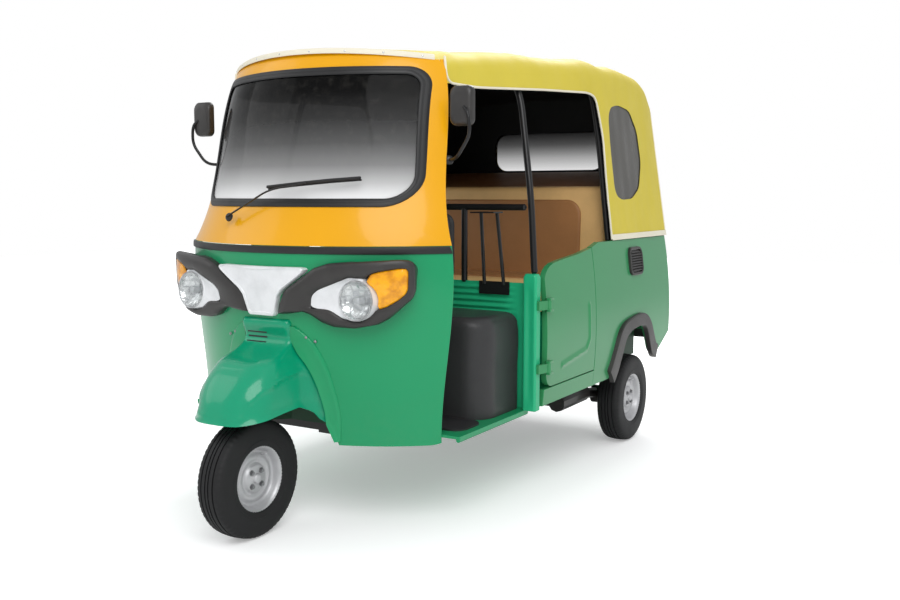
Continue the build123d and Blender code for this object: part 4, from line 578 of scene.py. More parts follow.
def piece(name, shapes, finish, body, slot, replaces=(), sharp=32.0, bevel=0.0):
    """A mesh object of several (points, faces) shapes, merged, with normals outwards. Points are given behind
    the front axle, so they are moved by AXLE_Y."""
    shapes = shapes if isinstance(shapes, list) else [shapes]
    starts = np.cumsum([0] + [len(points) for points, _ in shapes])
    points = np.vstack([points for points, _ in shapes]) + (0, AXLE_Y, 0)
    faces = np.vstack([cells + start for (_, cells), start in zip(shapes, starts)])
    mesh = bpy.data.meshes.new(name)
    mesh.from_pydata(points.tolist(), [], faces.tolist())
    made = bmesh.new()
    made.from_mesh(mesh)
    bmesh.ops.remove_doubles(made, verts=made.verts, dist=2e-5)
    bmesh.ops.dissolve_degenerate(made, edges=made.edges, dist=1e-6)
    bmesh.ops.recalc_face_normals(made, faces=made.faces)
    made.to_mesh(mesh)
    made.free()
    obj = bpy.data.objects.new(name, mesh)
    bpy.context.scene.collection.objects.link(obj)
    mesh.shade_smooth()
    mesh.set_sharp_from_angle(angle=math.radians(sharp))
    mesh.materials.append(FINISHES[finish])
    if bevel:
        rounding = obj.modifiers.new("edges", "BEVEL")
        rounding.width = bevel
        rounding.segments = 2
        rounding.limit_method = "ANGLE"
        rounding.angle_limit = math.radians(40)
        rounding.harden_normals = True
    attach(obj, body)
    if replaces:
        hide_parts(*replaces)
    return obj


# ------------------------------------------------------------------ front shell


def fitted(rows):
    """Columns of a table against its first one, as cubic polynomials."""
    rows = np.asarray(rows)
    fits = [np.polyfit(rows[:, 0], column, 3) for column in rows[:, 1:].T]
    return lambda height: [np.polyval(fit, height) for fit in fits]


# height, nose behind the axle, plan radius, back edge
COWL = fitted(
    ((0.305, 0.140, 0.760, 0.365), (0.474, 0.128, 0.755, 0.365), (0.673, 0.105, 0.760, 0.365),
     (0.910, 0.072, 0.735, 0.365), (0.982, 0.068, 0.715, 0.365))
)
SCREEN = fitted(
    ((0.984, 0.069, 0.715, 0.366), (1.107, 0.133, 0.690, 0.395), (1.350, 0.195, 0.663, 0.443),
     (1.620, 0.271, 0.600, 0.496))
)
COWL_LOW, BELT, SCREEN_LOW = 0.305, 0.983, 0.984
NOSE_CORNER = 0.060
HEADER, HEADER_ARCH = 1.634, 0.024
# the flange behind the back edge: distances in from it, and how far the arc starts inside it
RETURN, RETURN_ROUND = (0.026, 0.016, 0.008, 0.002), (0.0, 0.0, 0.0, 0.0004)
RETURN_START, SURROUND_EDGE = 0.003, 0.004
# rows and columns of the nose sheets: low, high, out to the wheel opening, and across above it
ROWS_LOW, ROWS_HIGH, COLUMNS_OUT, COLUMNS_ACROSS = 16, 18, 26, 10
# height, half width of the opening behind the front wheel
OPENING = np.array(((0.250, 0.266), (0.430, 0.190), (0.652, 0.130)))
SCREEN_CORNERS = np.array(((-0.480, 1.114), (0.480, 1.114), (0.455, 1.580), (-0.455, 1.580)))
SCREEN_RADII = np.array((0.100, 0.100, 0.070, 0.070))


def on_shell(shell, x, height, proud=0.0):
    """Point of the shell: y = nose + radius - sqrt((radius + proud)^2 - x^2) at each height."""
    nose, radius, _ = shell(height)
    x = np.asarray(x, float)
    y = nose + radius - np.sqrt((radius + proud) ** 2 - x**2)
    return np.stack([x, y, np.broadcast_to(height, x.shape)], -1)


def shell_edge(shell, height):
    """Half width where the plan arc meets the back edge."""
    nose, radius, back = shell(height)
    return np.sqrt(radius**2 - (nose + radius - back) ** 2)


def shell_half(shell, height, inset, inner_x, columns):
    """Left half of the skin at each height: the return flange, then the plan arc in to inner_x."""
    height, inner_x = np.broadcast_arrays(np.asarray(height, float), inner_x)
    nose, radius, back = [part[:, None] for part in shell(height)]
    height = height[:, None]
    edge = shell_edge(shell, height)
    flange_x = np.minimum(edge - np.array(RETURN), edge - inset)
    flange = np.stack([flange_x, back - inset - np.array(RETURN_ROUND), height + 0 * flange_x], -1)
    t = np.linspace(0, 1, columns)[None, :]
    start = np.arcsin(edge / radius) - (RETURN_START + inset) / radius
    angle = start * (1 - t) + np.arcsin(inner_x[:, None] / radius) * t
    x, y = (radius - inset) * np.sin(angle), nose + radius - (radius - inset) * np.cos(angle)
    return np.concatenate([flange, np.stack([x, y, height + 0 * angle], -1)], 1)


def nose_foot(inset):
    """Left wall of the nose beside the wheel opening. Its lower outer corner is rounded: heights there rise
    by a quarter arc of the distance from the edge, fading with the square of the height."""
    heights = np.linspace(COWL_LOW, OPENING[-1, 0], ROWS_LOW)
    half = shell_half(COWL, heights, inset, np.interp(heights, *OPENING.T), COLUMNS_OUT)
    fall = np.clip((half[..., 0] - half[..., 0].max() + NOSE_CORNER) / NOSE_CORNER, 0, 1)
    lift = NOSE_CORNER * (1 - np.sqrt(1 - fall**2)) * 0.8
    half[..., 2] += lift * ((heights[-1] - half[..., 2]) / (heights[-1] - heights[0])) ** 2
    return half


def nose_face(inset):
    """Wall of the nose from side to side, above the wheel opening."""
    heights = np.linspace(OPENING[-1, 0], BELT, ROWS_HIGH)
    gap = OPENING[-1, 1]
    half = shell_half(COWL, heights, inset, gap, COLUMNS_OUT)
    x = np.linspace(gap, -gap, COLUMNS_ACROSS + 2)[None, 1:-1] * np.ones((len(heights), 1))
    middle = on_shell(COWL, x, heights[:, None] * np.ones(COLUMNS_ACROSS), -inset)
    return np.concatenate([half, middle, half[:, ::-1] * (-1, 1, 1)], 1)


def cowl_shapes():
    """The nose skin: outer and inner walls, joined by rims along their open edges."""
    outer, inner = (nose_foot(inset) for inset in (0.0, SHEET))
    rims = [(outer[:, 0], inner[:, 0]), (outer[:, -1], inner[:, -1]), (outer[0], inner[0])]
    shapes = flip(*[surface(patch) for patch in [outer, inner] + [np.stack(rim) for rim in rims]])
    outer, inner = (nose_face(inset) for inset in (0.0, SHEET))
    first = len(RETURN) + COLUMNS_OUT - 1
    gap = slice(first, first + COLUMNS_ACROSS + 2)
    rims = [(outer[:, 0], inner[:, 0]), (outer[:, -1], inner[:, -1]), (outer[-1], inner[-1])]
    rims.append((outer[0, gap], inner[0, gap]))
    return shapes + [surface(patch) for patch in [outer, inner] + [np.stack(rim) for rim in rims]]


def screen_loop(inset):
    """Outline of the windscreen opening, moved in by an inset."""
    inwards = np.array(((1, 1), (-1, 1), (-1, -1), (1, -1)))
    return rounded_loop(SCREEN_CORNERS + inwards * inset, SCREEN_RADII - inset, 12, 22)


def arched(x, height):
    """Heights near the header drop with the square of x, so that its top edge is an arch."""
    return height - HEADER_ARCH * (x / 0.45) ** 2 * np.clip((height - 1.58) / (HEADER - 1.58), 0, 1)


def border_loop():
    """Outline of the surround at its base, back edges and header, point for point with screen_loop."""
    low, high = SCREEN_LOW, HEADER
    x_low, x_high = (shell_edge(SCREEN, height) - SURROUND_EDGE for height in (low, high))
    return rounded_loop(((-x_low, low), (x_low, low), (x_high, high), (-x_high, high)), 0, 12, 22)


def surround_shapes():
    """Rings from the windscreen opening out to the edges, stretched in x to meet the curved back edge."""
    hole, border = screen_loop(0), border_loop()
    s = np.linspace(0, 1, 18)[:, None, None]
    flat = hole * (1 - s) + border * s
    widths = border[:, 0].max(), border[border[:, 1] > HEADER - 1e-6, 0].max()
    straight = np.interp(flat[..., 1], (SCREEN_LOW, HEADER), widths)
    stretch = (shell_edge(SCREEN, flat[..., 1]) - SURROUND_EDGE) / straight
    x = flat[..., 0] * (1 + (stretch - 1) * s[..., 0])
    height = arched(x, flat[..., 1])
    walls = [on_shell(SCREEN, x, height, -inset) for inset in (0.0, SHEET)]
    heights = np.linspace(SCREEN_LOW, HEADER - HEADER_ARCH * 0.95, 30)
    flanges = [shell_half(SCREEN, heights, inset, 0.2, 30)[:, :6] for inset in (0.0, SHEET)]
    return [thick(*walls, around=True)] + flip(thick(*flanges))


BELT_SPAN = 53.5
BELT_SECTION = (
    (0.9575, 0.0004), (0.9590, 0.0050), (0.9640, 0.0062), (0.9760, 0.0062), (0.9810, 0.0050),
    (0.9822, 0.0004),
)
# inset from the opening's edge, height above the skin
SEAL_SECTION = (
    (-0.003, 0.0004), (-0.002, 0.0040), (0.003, 0.0055), (0.010, 0.0056), (0.011, 0.0046),
    (0.013, 0.0046), (0.014, 0.0056), (0.020, 0.0050), (0.0245, 0.0015), (0.0252, -0.0034),
    (0.022, -0.0075), (0.001, -0.0060), (-0.003, 0.0004),
)


def seal_shapes():
    """The seal's section carried round the opening's outline."""
    loops = [screen_loop(inset).T for inset, _ in SEAL_SECTION]
    return rings(*[on_shell(SCREEN, *loop, proud) for loop, (_, proud) in zip(loops, SEAL_SECTION)])


def pane_shapes(loop, outer, inner):
    """The curved windscreen: its outline shrunk to the middle on two offsets of the shell."""
    middle = loop.mean(0)
    face = [(middle + (loop - middle) * share).T for share in np.linspace(1, 0, 12)]
    back = [on_shell(SCREEN, *ring, outer) for ring in face[::-1]]
    return rings(*back, *[on_shell(SCREEN, *ring, inner) for ring in face])


def belt_shapes():
    """Black strip round the belt: a rolled section of (height, height above the skin) on the plan arc."""
    angle = np.radians(np.linspace(-BELT_SPAN, BELT_SPAN, 80))
    grid = []
    for height, proud in BELT_SECTION:
        radius = COWL(height)[1] + proud
        grid.append(on_shell(COWL, radius * np.sin(angle), height, proud))
    return strip(grid)


# ------------------------------------------------------------------ lamps


def reach_to(corners, centre, angle):
    """Distance from a centre to a polygon's edge in each direction: where the ray crosses each side's line,
    kept if the crossing is on the side."""
    a = np.asarray(corners, float) - centre
    edge = (np.roll(a, -1, 0) - a)[None]
    ray = np.stack([np.cos(angle), np.sin(angle)], -1)[:, None]
    turn = ray[..., 0] * edge[..., 1] - ray[..., 1] * edge[..., 0]
    turn = np.where(np.abs(turn) < 1e-12, 1e-12, turn)
    reach = (a[:, 0] * edge[..., 1] - a[:, 1] * edge[..., 0]) / turn
    share = (a[:, 0] * ray[..., 1] - a[:, 1] * ray[..., 0]) / turn
    return np.where((share >= -1e-6) & (share <= 1 + 1e-6) & (reach > 0), reach, 0).max(1)


def radial_loop(corners, centre, count):
    """Outline of a shape seen from a centre, as distance against angle, softened by averaging in threes."""
    angle = full_turn(count)
    reach = reach_to(corners, centre, angle)
    return angle, np.mean([np.roll(reach, step) for step in (-1, 0, 1)], 0)


def polar(centre, angle, reach):
    """Points at angles and distances from a centre."""
    return np.stack([centre[0] + reach * np.cos(angle), centre[1] + reach * np.sin(angle)], -1)


# how far a lamp unit's face stands off the skin, at distances from the middle of the nose
POD_PLACES = (0.0, 0.06, 0.20, 0.30, 0.367, 0.43, 0.50, 0.56)
POD = np.polyfit(POD_PLACES, (0.010, 0.013, 0.022, 0.038, 0.056, 0.074, 0.084, 0.086), 4)
LAMP = np.array((0.367, 0.812))
LAMP_RADIUS = 0.064
# the headlamp's flat rim: its place behind the axle at the lamp's centre, and its tilt outwards and upwards
LAMP_BACK, LAMP_TILT = 0.113, 0.05
BEZEL_CENTRE, INDICATOR_CENTRE, PLATE_CENTRE = np.array(((0.330, 0.832), (0.468, 0.853), (0.0, 0.862)))


def raised(centre, angle, steps):
    """Rings of a lamp unit: (distance from the centre, share of the way out from the nose skin to the unit's
    face, share of the way from that face to the headlamp's flat rim, height above it)."""
    loops = []
    for reach, out, flat, proud in steps:
        x, height = polar(centre, angle, np.broadcast_to(reach, angle.shape)).T
        points = on_shell(COWL, x, height)
        face = points[:, 1] - np.polyval(POD, np.abs(x))
        rim = LAMP_BACK + LAMP_TILT * (x - LAMP[0] + height - LAMP[1])
        points[:, 1] += out * (face + flat * (rim - face) - points[:, 1]) - proud
        loops.append(points)
    return rings(*loops)


BEZEL = (
    (0.062, 0.744), (0.074, 0.785), (0.099, 0.835), (0.155, 0.871), (0.219, 0.914), (0.269, 0.930),
    (0.349, 0.937), (0.428, 0.943), (0.494, 0.947), (0.522, 0.945), (0.533, 0.925), (0.534, 0.847),
    (0.526, 0.818), (0.489, 0.778), (0.460, 0.750), (0.426, 0.731), (0.350, 0.717), (0.274, 0.719),
    (0.233, 0.732), (0.187, 0.760), (0.157, 0.768), (0.115, 0.766), (0.083, 0.749),
)
HOUSING = (
    (0.200, 0.780), (0.207, 0.822), (0.230, 0.841), (0.323, 0.878), (0.341, 0.886), (0.392, 0.884),
    (0.400, 0.770), (0.380, 0.744), (0.352, 0.742), (0.312, 0.750), (0.279, 0.771), (0.257, 0.780),
)
INDICATOR = (
    (0.420, 0.779), (0.459, 0.793), (0.491, 0.815), (0.509, 0.833), (0.516, 0.850), (0.518, 0.909),
    (0.510, 0.919), (0.445, 0.907), (0.416, 0.899),
)
BEZEL_HOLE = HOUSING[:6] + INDICATOR[::-1] + HOUSING[7:]
CENTRE_PLATE = ((0.054, 0.746), (0.075, 0.814), (0.094, 0.837), (0.163, 0.885), (0.202, 0.914))
# share of the bezel's width out from its hole, share out from the skin, height above the face
BEZEL_SECTION = (
    (1.0, 0.0, 0.0004), (1.0, 0.70, 0.0), (0.99, 0.88, 0.001), (0.95, 0.94, 0.004), (0.87, 1.0, 0.0080),
    (0.72, 1.0, 0.0115), (0.50, 1.0, 0.0125), (0.30, 1.0, 0.0120), (0.15, 1.0, 0.0100), (0.04, 1.0, 0.0070),
    (0.0, 1.0, 0.0035), (0.0, 0.0, 0.0004), (1.0, 0.0, 0.0004),
)
BEZEL_TUCK, BORE_GAP, LENS_GAP = 0.40, 0.0012, 0.0008


def bezel_shapes():
    """Black surround: its section carried round between hole and outline, the outer wall tucked in behind."""
    angle, outer = radial_loop(BEZEL, BEZEL_CENTRE, 220)
    _, inner = radial_loop(BEZEL_HOLE, BEZEL_CENTRE, 220)
    width = outer - inner
    x = polar(BEZEL_CENTRE, angle, outer)[:, 0]
    tuck = BEZEL_TUCK * np.polyval(POD, x) * np.clip(np.cos(angle), 0, 1)
    steps = [(inner + width * part - tuck * (1 - out), out, 0.0, proud) for part, out, proud in BEZEL_SECTION]
    return flip(raised(BEZEL_CENTRE, angle, steps))


def housing_shapes():
    """Silver housing: from its outline the face dips to a flat rim round the headlamp's bore."""
    angle, outer = radial_loop(HOUSING, LAMP, 144)
    bore = LAMP_RADIUS + BORE_GAP
    outer = np.maximum(outer - LENS_GAP, bore + 0.0015)
    lip = np.minimum(bore + 0.006, (outer + bore) / 2)
    steps = (
        (outer, 0.0, 0.0, 0.0004), (outer, 1.0, 0.0, 0.0030), (outer - 0.001, 1.0, 0.0, 0.0050),
        (outer * 0.7 + lip * 0.3, 1.0, 0.2, 0.0045), (outer * 0.35 + lip * 0.65, 1.0, 0.7, 0.0),
        (lip, 1.0, 1.0, -0.0020), (bore + 0.001, 1.0, 1.0, 0.0015), (bore, 1.0, 1.0, 0.0),
        (bore, 1.0, 1.0, -0.0080), (bore, 0.0, 0.0, 0.0004), (outer, 0.0, 0.0, 0.0004),
    )
    return flip(raised(LAMP, angle, steps))


def indicator_shapes():
    """Amber lens: a low dome on an outline that is bitten by an arc round the headlamp."""
    turn = np.radians(np.linspace(62, -26, 12))
    bite = polar(LAMP, turn, LAMP_RADIUS + 0.004)
    outline = np.vstack([bite, np.array(INDICATOR)[1:] - LENS_GAP])
    angle, outer = radial_loop(outline, INDICATOR_CENTRE, 120)
    steps = ((1.0, 0.0030), (0.93, 0.0090), (0.6, 0.0125), (0.25, 0.0142), (0.0, 0.0144))
    steps = [(outer * part, 1.0, 0.0, proud) for part, proud in steps]
    return flip(raised(INDICATOR_CENTRE, angle, [(outer * 0.85, 0.8, 0.0, 0.0)] + steps))


def centre_shapes():
    """Silver plate between the lamps: a raised rim round a flat field."""
    half = np.array(CENTRE_PLATE)
    angle, outer = radial_loop(np.vstack([half, half[::-1] * (-1, 1)]), PLATE_CENTRE, 160)
    steps = (
        (outer, 0.0, 0.0004), (outer, 1.0, 0.0080), (outer - 0.0025, 1.0, 0.0110),
        (outer - 0.011, 1.0, 0.0112), (outer - 0.014, 1.0, 0.0085), (outer * 0.5, 1.0, 0.0080),
        (outer * 0.0, 1.0, 0.0080),
    )
    return raised(PLATE_CENTRE, angle, [(reach, out, 0.0, proud) for reach, out, proud in steps])


# distance from the headlamp's centre, height above its flat rim
BOWL = (
    (0.0, -0.036), (0.030, -0.033), (0.0636, -0.012), (0.0636, 0.0), (0.0620, 0.0), (0.058, -0.0070),
    (0.050, -0.0150), (0.040, -0.0210), (0.030, -0.0255), (0.020, -0.0285), (0.012, -0.0300),
    (0.0, -0.0305),
)
BULB = ((0.0, -0.030), (0.013, -0.030), (0.013, -0.012), (0.011, -0.005), (0.007, -0.002), (0.0, -0.001))


def lamp_disc(section):
    """Rings of a headlamp at distances from its centre and heights above its flat rim."""
    angle = full_turn(64)
    return raised(LAMP, angle, [(reach, 1.0, 1.0, proud) for reach, proud in section])


def dome_shapes():
    """Clear glass of a headlamp: inner and outer dome, whose height falls with the square of the distance."""
    steps = np.linspace(0, 1, 16)
    bulge = 1 - (1 - steps) ** 2
    reaches = np.concatenate([0.0632 * (1 - steps[::-1]), 0.0612 * (1 - steps)]) + 1e-9
    return lamp_disc(zip(reaches, np.concatenate([0.0150 * bulge[::-1] - 0.001, 0.0180 * bulge + 0.001])))


# ------------------------------------------------------------------ front mudguard
# height, half width at the front, front edge, corner radius
GUARD = np.array(
    ((0.385, 0.152, -0.170, 0.135), (0.440, 0.150, -0.161, 0.130), (0.500, 0.146, -0.139, 0.120),
     (0.540, 0.140, -0.111, 0.105), (0.575, 0.132, -0.074, 0.090), (0.605, 0.120, -0.030, 0.068),
     (0.622, 0.112, 0.030, 0.040), (0.640, 0.107, 0.072, 0.026), (0.722, 0.104, 0.084, 0.020))
)
GUARD_FLARE, GUARD_SPREAD = 0.09, 0.044
GUARD_TOP, GUARD_WALL, LIP_LEVEL = 0.722, 0.004, 0.42
# places round the left half of the bell: its side ends, its corner ends, the last one before the middle
GUARD_PLACES, SIDE_END, CORNER_END, FRONT_END = np.arange(40), 15, 30, 39
GUARD_ROWS = 44
# place, height of the bell's lip and of its pressed line
LIP = np.array(
    ((-0.300, 0.425), (-0.150, 0.416), (-0.010, 0.438), (0.075, 0.447), (0.125, 0.425), (0.152, 0.385))
)
SWAGE = np.array(
    ((-0.135, 0.440), (-0.118, 0.486), (-0.075, 0.520), (0.005, 0.549), (0.060, 0.560), (0.115, 0.562))
)
SWAGE_RISE = 0.0035
# height, half width of the strips beside the bell, and where the bell starts beside them
FLANGE = np.array(
    (
        (0.318, 0.250), (0.400, 0.253), (0.515, 0.236), (0.610, 0.208), (0.662, 0.178), (0.694, 0.146),
        (0.712, 0.120),
    )
)
BELL_FOOT = 0.386
VENTS, VENT_SPAN = (0.686, 0.669, 0.652), (-0.080, 0.005)


def vent_shapes():
    """Three dark slots up the bell's neck: a flat channel section carried across."""
    x = np.linspace(*VENT_SPAN, 14)
    section = ((0.002, -0.003), (-0.0008, -0.0028), (-0.0008, 0.0028), (0.002, 0.003))
    slots = []
    for height in VENTS:
        front = hermite(GUARD, np.full(len(x), height))[1]
        slot = [np.column_stack([x, front + depth, height + rise + 0 * x]) for depth, rise in section]
        slots.append(strip(slot))
    return slots


def hermite(table, x):
    """Columns of a table against its first one, by cubic pieces with slopes from the points either side."""
    table = np.asarray(table)
    x = np.clip(x, table[0, 0], table[-1, 0])
    slopes = np.gradient(table[:, 1:], table[:, 0], axis=0)
    piece_at = np.clip(np.searchsorted(table[:, 0], x, "right") - 1, 0, len(table) - 2)
    step = (table[piece_at + 1, 0] - table[piece_at, 0])[..., None]
    t = (x - table[piece_at, 0])[..., None] / step
    start, end = table[piece_at, 1:], table[piece_at + 1, 1:]
    value = (
        (2 * t**3 - 3 * t**2 + 1) * start + (t**3 - 2 * t**2 + t) * step * slopes[piece_at]
        + (3 * t**2 - 2 * t**3) * end + (t**3 - t**2) * step * slopes[piece_at + 1]
    )
    return np.moveaxis(value, -1, 0)


def guard_turn():
    """Angle round the bell's corner at each place."""
    return np.radians(np.clip((GUARD_PLACES - SIDE_END) / (CORNER_END - SIDE_END), 0, 1) * 90)


def guard_half(height, inset):
    """Left half of the bell at each height: side from the cowl forwards, quarter arc, then the front to the
    middle. The side spreads by a power of the distance where it meets the cowl.
    height has a column for each place round the section."""
    half, front, corner = hermite(GUARD, height)
    side = np.clip((SIDE_END - GUARD_PLACES) / SIDE_END, 0, 1)
    turn = guard_turn()
    across = np.clip((FRONT_END - GUARD_PLACES) / (FRONT_END - CORNER_END), 0, 1)
    bend_back = front + corner
    end = np.full_like(half, 0.12)
    spread = GUARD_SPREAD * np.clip((0.66 - height) / 0.24, 0, 1) ** 0.7
    for _ in range(4):
        nose, radius, _ = COWL(height)
        reach = half + GUARD_FLARE * (end - bend_back) + spread
        end = nose + radius - np.sqrt(radius**2 - reach**2) + 0.004
    bend = bend_back - (corner - inset) * np.sin(turn)
    y = np.where(GUARD_PLACES < SIDE_END, bend_back + (end - bend_back) * side, bend)
    x = half - corner + (corner - inset) * np.cos(turn) + GUARD_FLARE * np.maximum(y - bend_back, 0)
    x = x + spread * np.clip((side - 0.55) / 0.45, 0, 1) ** 2.4
    return np.where(GUARD_PLACES > CORNER_END, (half - corner) * across, x), y


def swage(y, height):
    """Pressed line on the bell's side: a cosine bead on a curve of height against place, over a flat."""
    away = height - np.interp(y, *SWAGE.T)
    bead = SWAGE_RISE * (0.5 + 0.5 * np.cos(np.pi * np.clip(away / 0.012, -1, 1)))
    return bead - SWAGE_RISE * np.clip(-away / 0.02, 0, 1) * np.clip((height - LIP_LEVEL) / 0.03, 0, 1)


def guard_grid(inset):
    """The bell: rows from its lip, a curve of height against place, up to a roll that turns in at the top."""
    lip = np.full((1, len(GUARD_PLACES)), LIP_LEVEL)
    for _ in range(6):
        _, y = guard_half(lip, inset)
        lip = np.interp(y, *LIP.T)
    v = np.linspace(0, 1, GUARD_ROWS)[:, None] ** 0.9
    height = lip + v * (GUARD_TOP - lip)
    x, y = guard_half(height, inset)
    nose, radius, _ = COWL(height[-1:])
    shell = nose + radius - np.sqrt(radius**2 - x[-1:] ** 2)
    roll = np.radians(np.array([30, 60, 90]))[:, None]
    top_y = y[-1:] + (shell - y[-1:]) * (1 - np.cos(roll))
    x, y = np.vstack([x, x[-1:] * (1 - 0.04 * np.sin(roll))]), np.vstack([y, top_y])
    height = np.vstack([height, height[-1:] + (0.013 - inset) * np.sin(roll)])
    flare = np.exp(-v[:, 0] * GUARD_ROWS)[:, None] * 0.004
    x[:GUARD_ROWS] += flare * np.clip(x[:GUARD_ROWS] / 0.15, 0, 1)
    y[:GUARD_ROWS] -= flare * (GUARD_PLACES > SIDE_END)
    turn = guard_turn()
    lift = swage(y, height) * (GUARD_PLACES < CORNER_END - 1)
    half = np.stack([x + lift * np.cos(turn), y - lift * np.sin(turn), height], -1)
    return np.concatenate([half, half[:, -2::-1] * (-1, 1, 1)], 1)


def guard_shapes():
    """The bell as two sheets a wall apart."""
    return thick(guard_grid(0.0), guard_grid(GUARD_WALL))


def flange_shapes():
    """Strips on the cowl either side of the bell: a hollow fillet runs down from it to a rounded edge."""
    height = np.linspace(FLANGE[0, 0], FLANGE[-1, 0], 40)
    outer = hermite(FLANGE, height)[0]
    full = np.broadcast_to(np.maximum(height, BELL_FOOT)[:, None], (len(height), len(GUARD_PLACES)))
    bell = guard_half(full, 0.0)[0][:, 0]
    inner = np.where(height < BELL_FOOT, np.interp(height, *OPENING.T), bell - 0.003)
    t = np.linspace(0, 1, 18)
    x = inner[:, None] + (outer - inner)[:, None] * t
    rise = 0.010 * np.clip((0.66 - height) / 0.05, 0, 1)[:, None]
    proud = 0.0075 + rise * (1 - t) ** 2.4 - 0.006 * np.clip((t - 0.80) / 0.2, 0, 1) ** 2
    walls = [on_shell(COWL, x, height[:, None] * np.ones(18), lift) for lift in (proud, proud * 0 + 0.0004)]
    return flip(thick(*walls))


# ------------------------------------------------------------------ small hardware


def head(centre, normal, steps, sides):
    """Rings of (radius, lift) about a normal, the radius one number or one for each side."""
    normal = np.asarray(normal, float) / np.linalg.norm(normal)
    u = np.cross(normal, np.eye(3)[np.argmin(np.abs(normal))])
    u /= np.linalg.norm(u)
    v = np.cross(normal, u)
    angle = full_turn(sides)[:, None]
    ray = np.cos(angle) * u + np.sin(angle) * v
    middle = np.asarray(centre)
    loops = [middle + normal * lift + np.reshape(radius, (-1, 1)) * ray for radius, lift in steps]
    return rings(*loops, fill_first=True)


def hex_bolt(centre, normal, radius, height):
    """A hexagon head with a chamfer, on a washer. Every second point lies on a flat."""
    washer, flats = radius * 1.5, np.where(np.arange(12) % 2, np.cos(np.pi / 6), 1.0) * radius
    steps = (
        (washer, 0), (washer, height * 0.2), (flats, height * 0.2), (flats, height * 0.85),
        (flats * 0.86, height), (0.0, height),
    )
    return head(centre, normal, steps, 12)


def dome_head(centre, normal, radius, height):
    """A round head: a quarter arc turned about a normal."""
    lifts = np.radians((0, 0, 25, 50, 72, 90))
    return head(centre, normal, [(radius * math.cos(a), height * math.sin(a)) for a in lifts], 14)


# ------------------------------------------------------------------ wheels
AXLE_HEIGHT = 0.203
# name, body, place to the left, place behind the front axle, side the disc faces
WHEELS = (
    ("front", "front_wheel", 0.0, 0.0, 1),
    ("rear_left", "rear_wheel_left", 0.59, 1.92, 1),
    ("rear_right", "rear_wheel_right", -0.59, 1.92, -1),
)
# across the tread, radius: half of the tyre from its bead to the middle of the crown
TYRE_HALF = (
    (0.0455, 0.1100), (0.0490, 0.1130), (0.0515, 0.1200), (0.0530, 0.1285), (0.0537, 0.1290),
    (0.0539, 0.1320), (0.0533, 0.1325), (0.0538, 0.1500), (0.0538, 0.1680), (0.0525, 0.1800),
    (0.0500, 0.1890), (0.0478, 0.1925), (0.0450, 0.1962), (0.0400, 0.1990), (0.0290, 0.2012),
    (0.0275, 0.2010), (0.0270, 0.1970), (0.0225, 0.1970), (0.0220, 0.2018), (0.0100, 0.2027),
    (0.0090, 0.2027), (0.0085, 0.1985), (0.0045, 0.1985), (0.0040, 0.2030), (0.0010, 0.2030),
)
RIM_PROFILE = (
    (-0.034, 0.0), (-0.034, 0.088), (-0.040, 0.092), (-0.0450, 0.108), (-0.0480, 0.1155),
    (-0.0462, 0.1170), (-0.0430, 0.1118), (0.0430, 0.1118), (0.0462, 0.1170), (0.0480, 0.1155),
    (0.0455, 0.1080), (0.0400, 0.1040), (0.0340, 0.1000), (0.0200, 0.0980), (0.0150, 0.0940),
    (0.0140, 0.0890), (0.0150, 0.0840), (0.0215, 0.0770), (0.0240, 0.0700), (0.0235, 0.0640),
    (0.0195, 0.0590), (0.0190, 0.0540), (0.0215, 0.0500), (0.0290, 0.0470), (0.0310, 0.0430),
    (0.0310, 0.0200), (0.0325, 0.0180), (0.0380, 0.0172), (0.0405, 0.0150), (0.0422, 0.0100),
    (0.0430, 0.0),
)
NUT_CIRCLE, NUT_COUNT, NUT_SEAT = 0.0330, 4, 0.0305
VALVE = ((0.016, 0.086), (0.026, 0.088), (0.036, 0.092))


def tyre_shapes(x, back, outward, depth):
    """The tyre's half section and its mirror image turned about the axle. The shoulder's lugs are a square
    wave of the angle."""
    half = np.array(TYRE_HALF)
    half[:, 1] = np.where((half[:, 0] < 0.0272) & (half[:, 1] < 0.199), 0.2015 - depth, half[:, 1])
    section = np.vstack([half, half[::-1] * (-1, 1), half[:1]])

    def lugs(angle, across):
        band = (np.abs(across) > 0.0395) & (np.abs(across) < 0.0485)
        return np.where(band & (np.sin(angle * 60) > 0.3), 1 - 0.5 * depth / AXLE_HEIGHT, 1.0)

    return turned(section * (outward, 1), (x, back, AXLE_HEIGHT), steps=240, lobes=lugs)


def rim_shapes(x, back, outward):
    """The rim's section turned about the axle, and its valve."""
    disc = turned(np.array(RIM_PROFILE) * (outward, 1), (x, back, AXLE_HEIGHT), steps=96)
    path = [(x + outward * along, back + reach * 0.5, AXLE_HEIGHT + reach * 0.85) for along, reach in VALVE]
    return [disc, tube(path, 0.0035, 8)]


def nut_shapes(x, back, outward):
    """Wheel nuts on their circle."""
    turn = np.radians(45 + 360 / NUT_COUNT * np.arange(NUT_COUNT))
    seats = [(x + outward * NUT_SEAT, *polar((back, AXLE_HEIGHT), a, NUT_CIRCLE)) for a in turn]
    return [hex_bolt(seat, (outward, 0, 0), 0.0070, 0.010) for seat in seats]


# ------------------------------------------------------------------ hood
# behind the axle, half width at the belt, half width at the top corner, height of the top corner
HOOD = np.array(
    ((0.240, 0.520, 0.447, 1.632), (0.655, 0.565, 0.490, 1.660), (1.100, 0.615, 0.550, 1.690),
     (1.500, 0.638, 0.584, 1.718), (1.980, 0.645, 0.582, 1.720), (2.170, 0.646, 0.570, 1.700),
     (2.322, 0.646, 0.545, 1.640))
)
HOOD_LOW, HOOD_CORNER, HOOD_LEAN, HOOD_CROWN = 0.957, 0.085, 0.0085, 0.028
HOOD_BACK, HOOD_FRONT, HOOD_DROOP, HOOD_EAVES = 2.322, 0.487, 0.020, 1.560
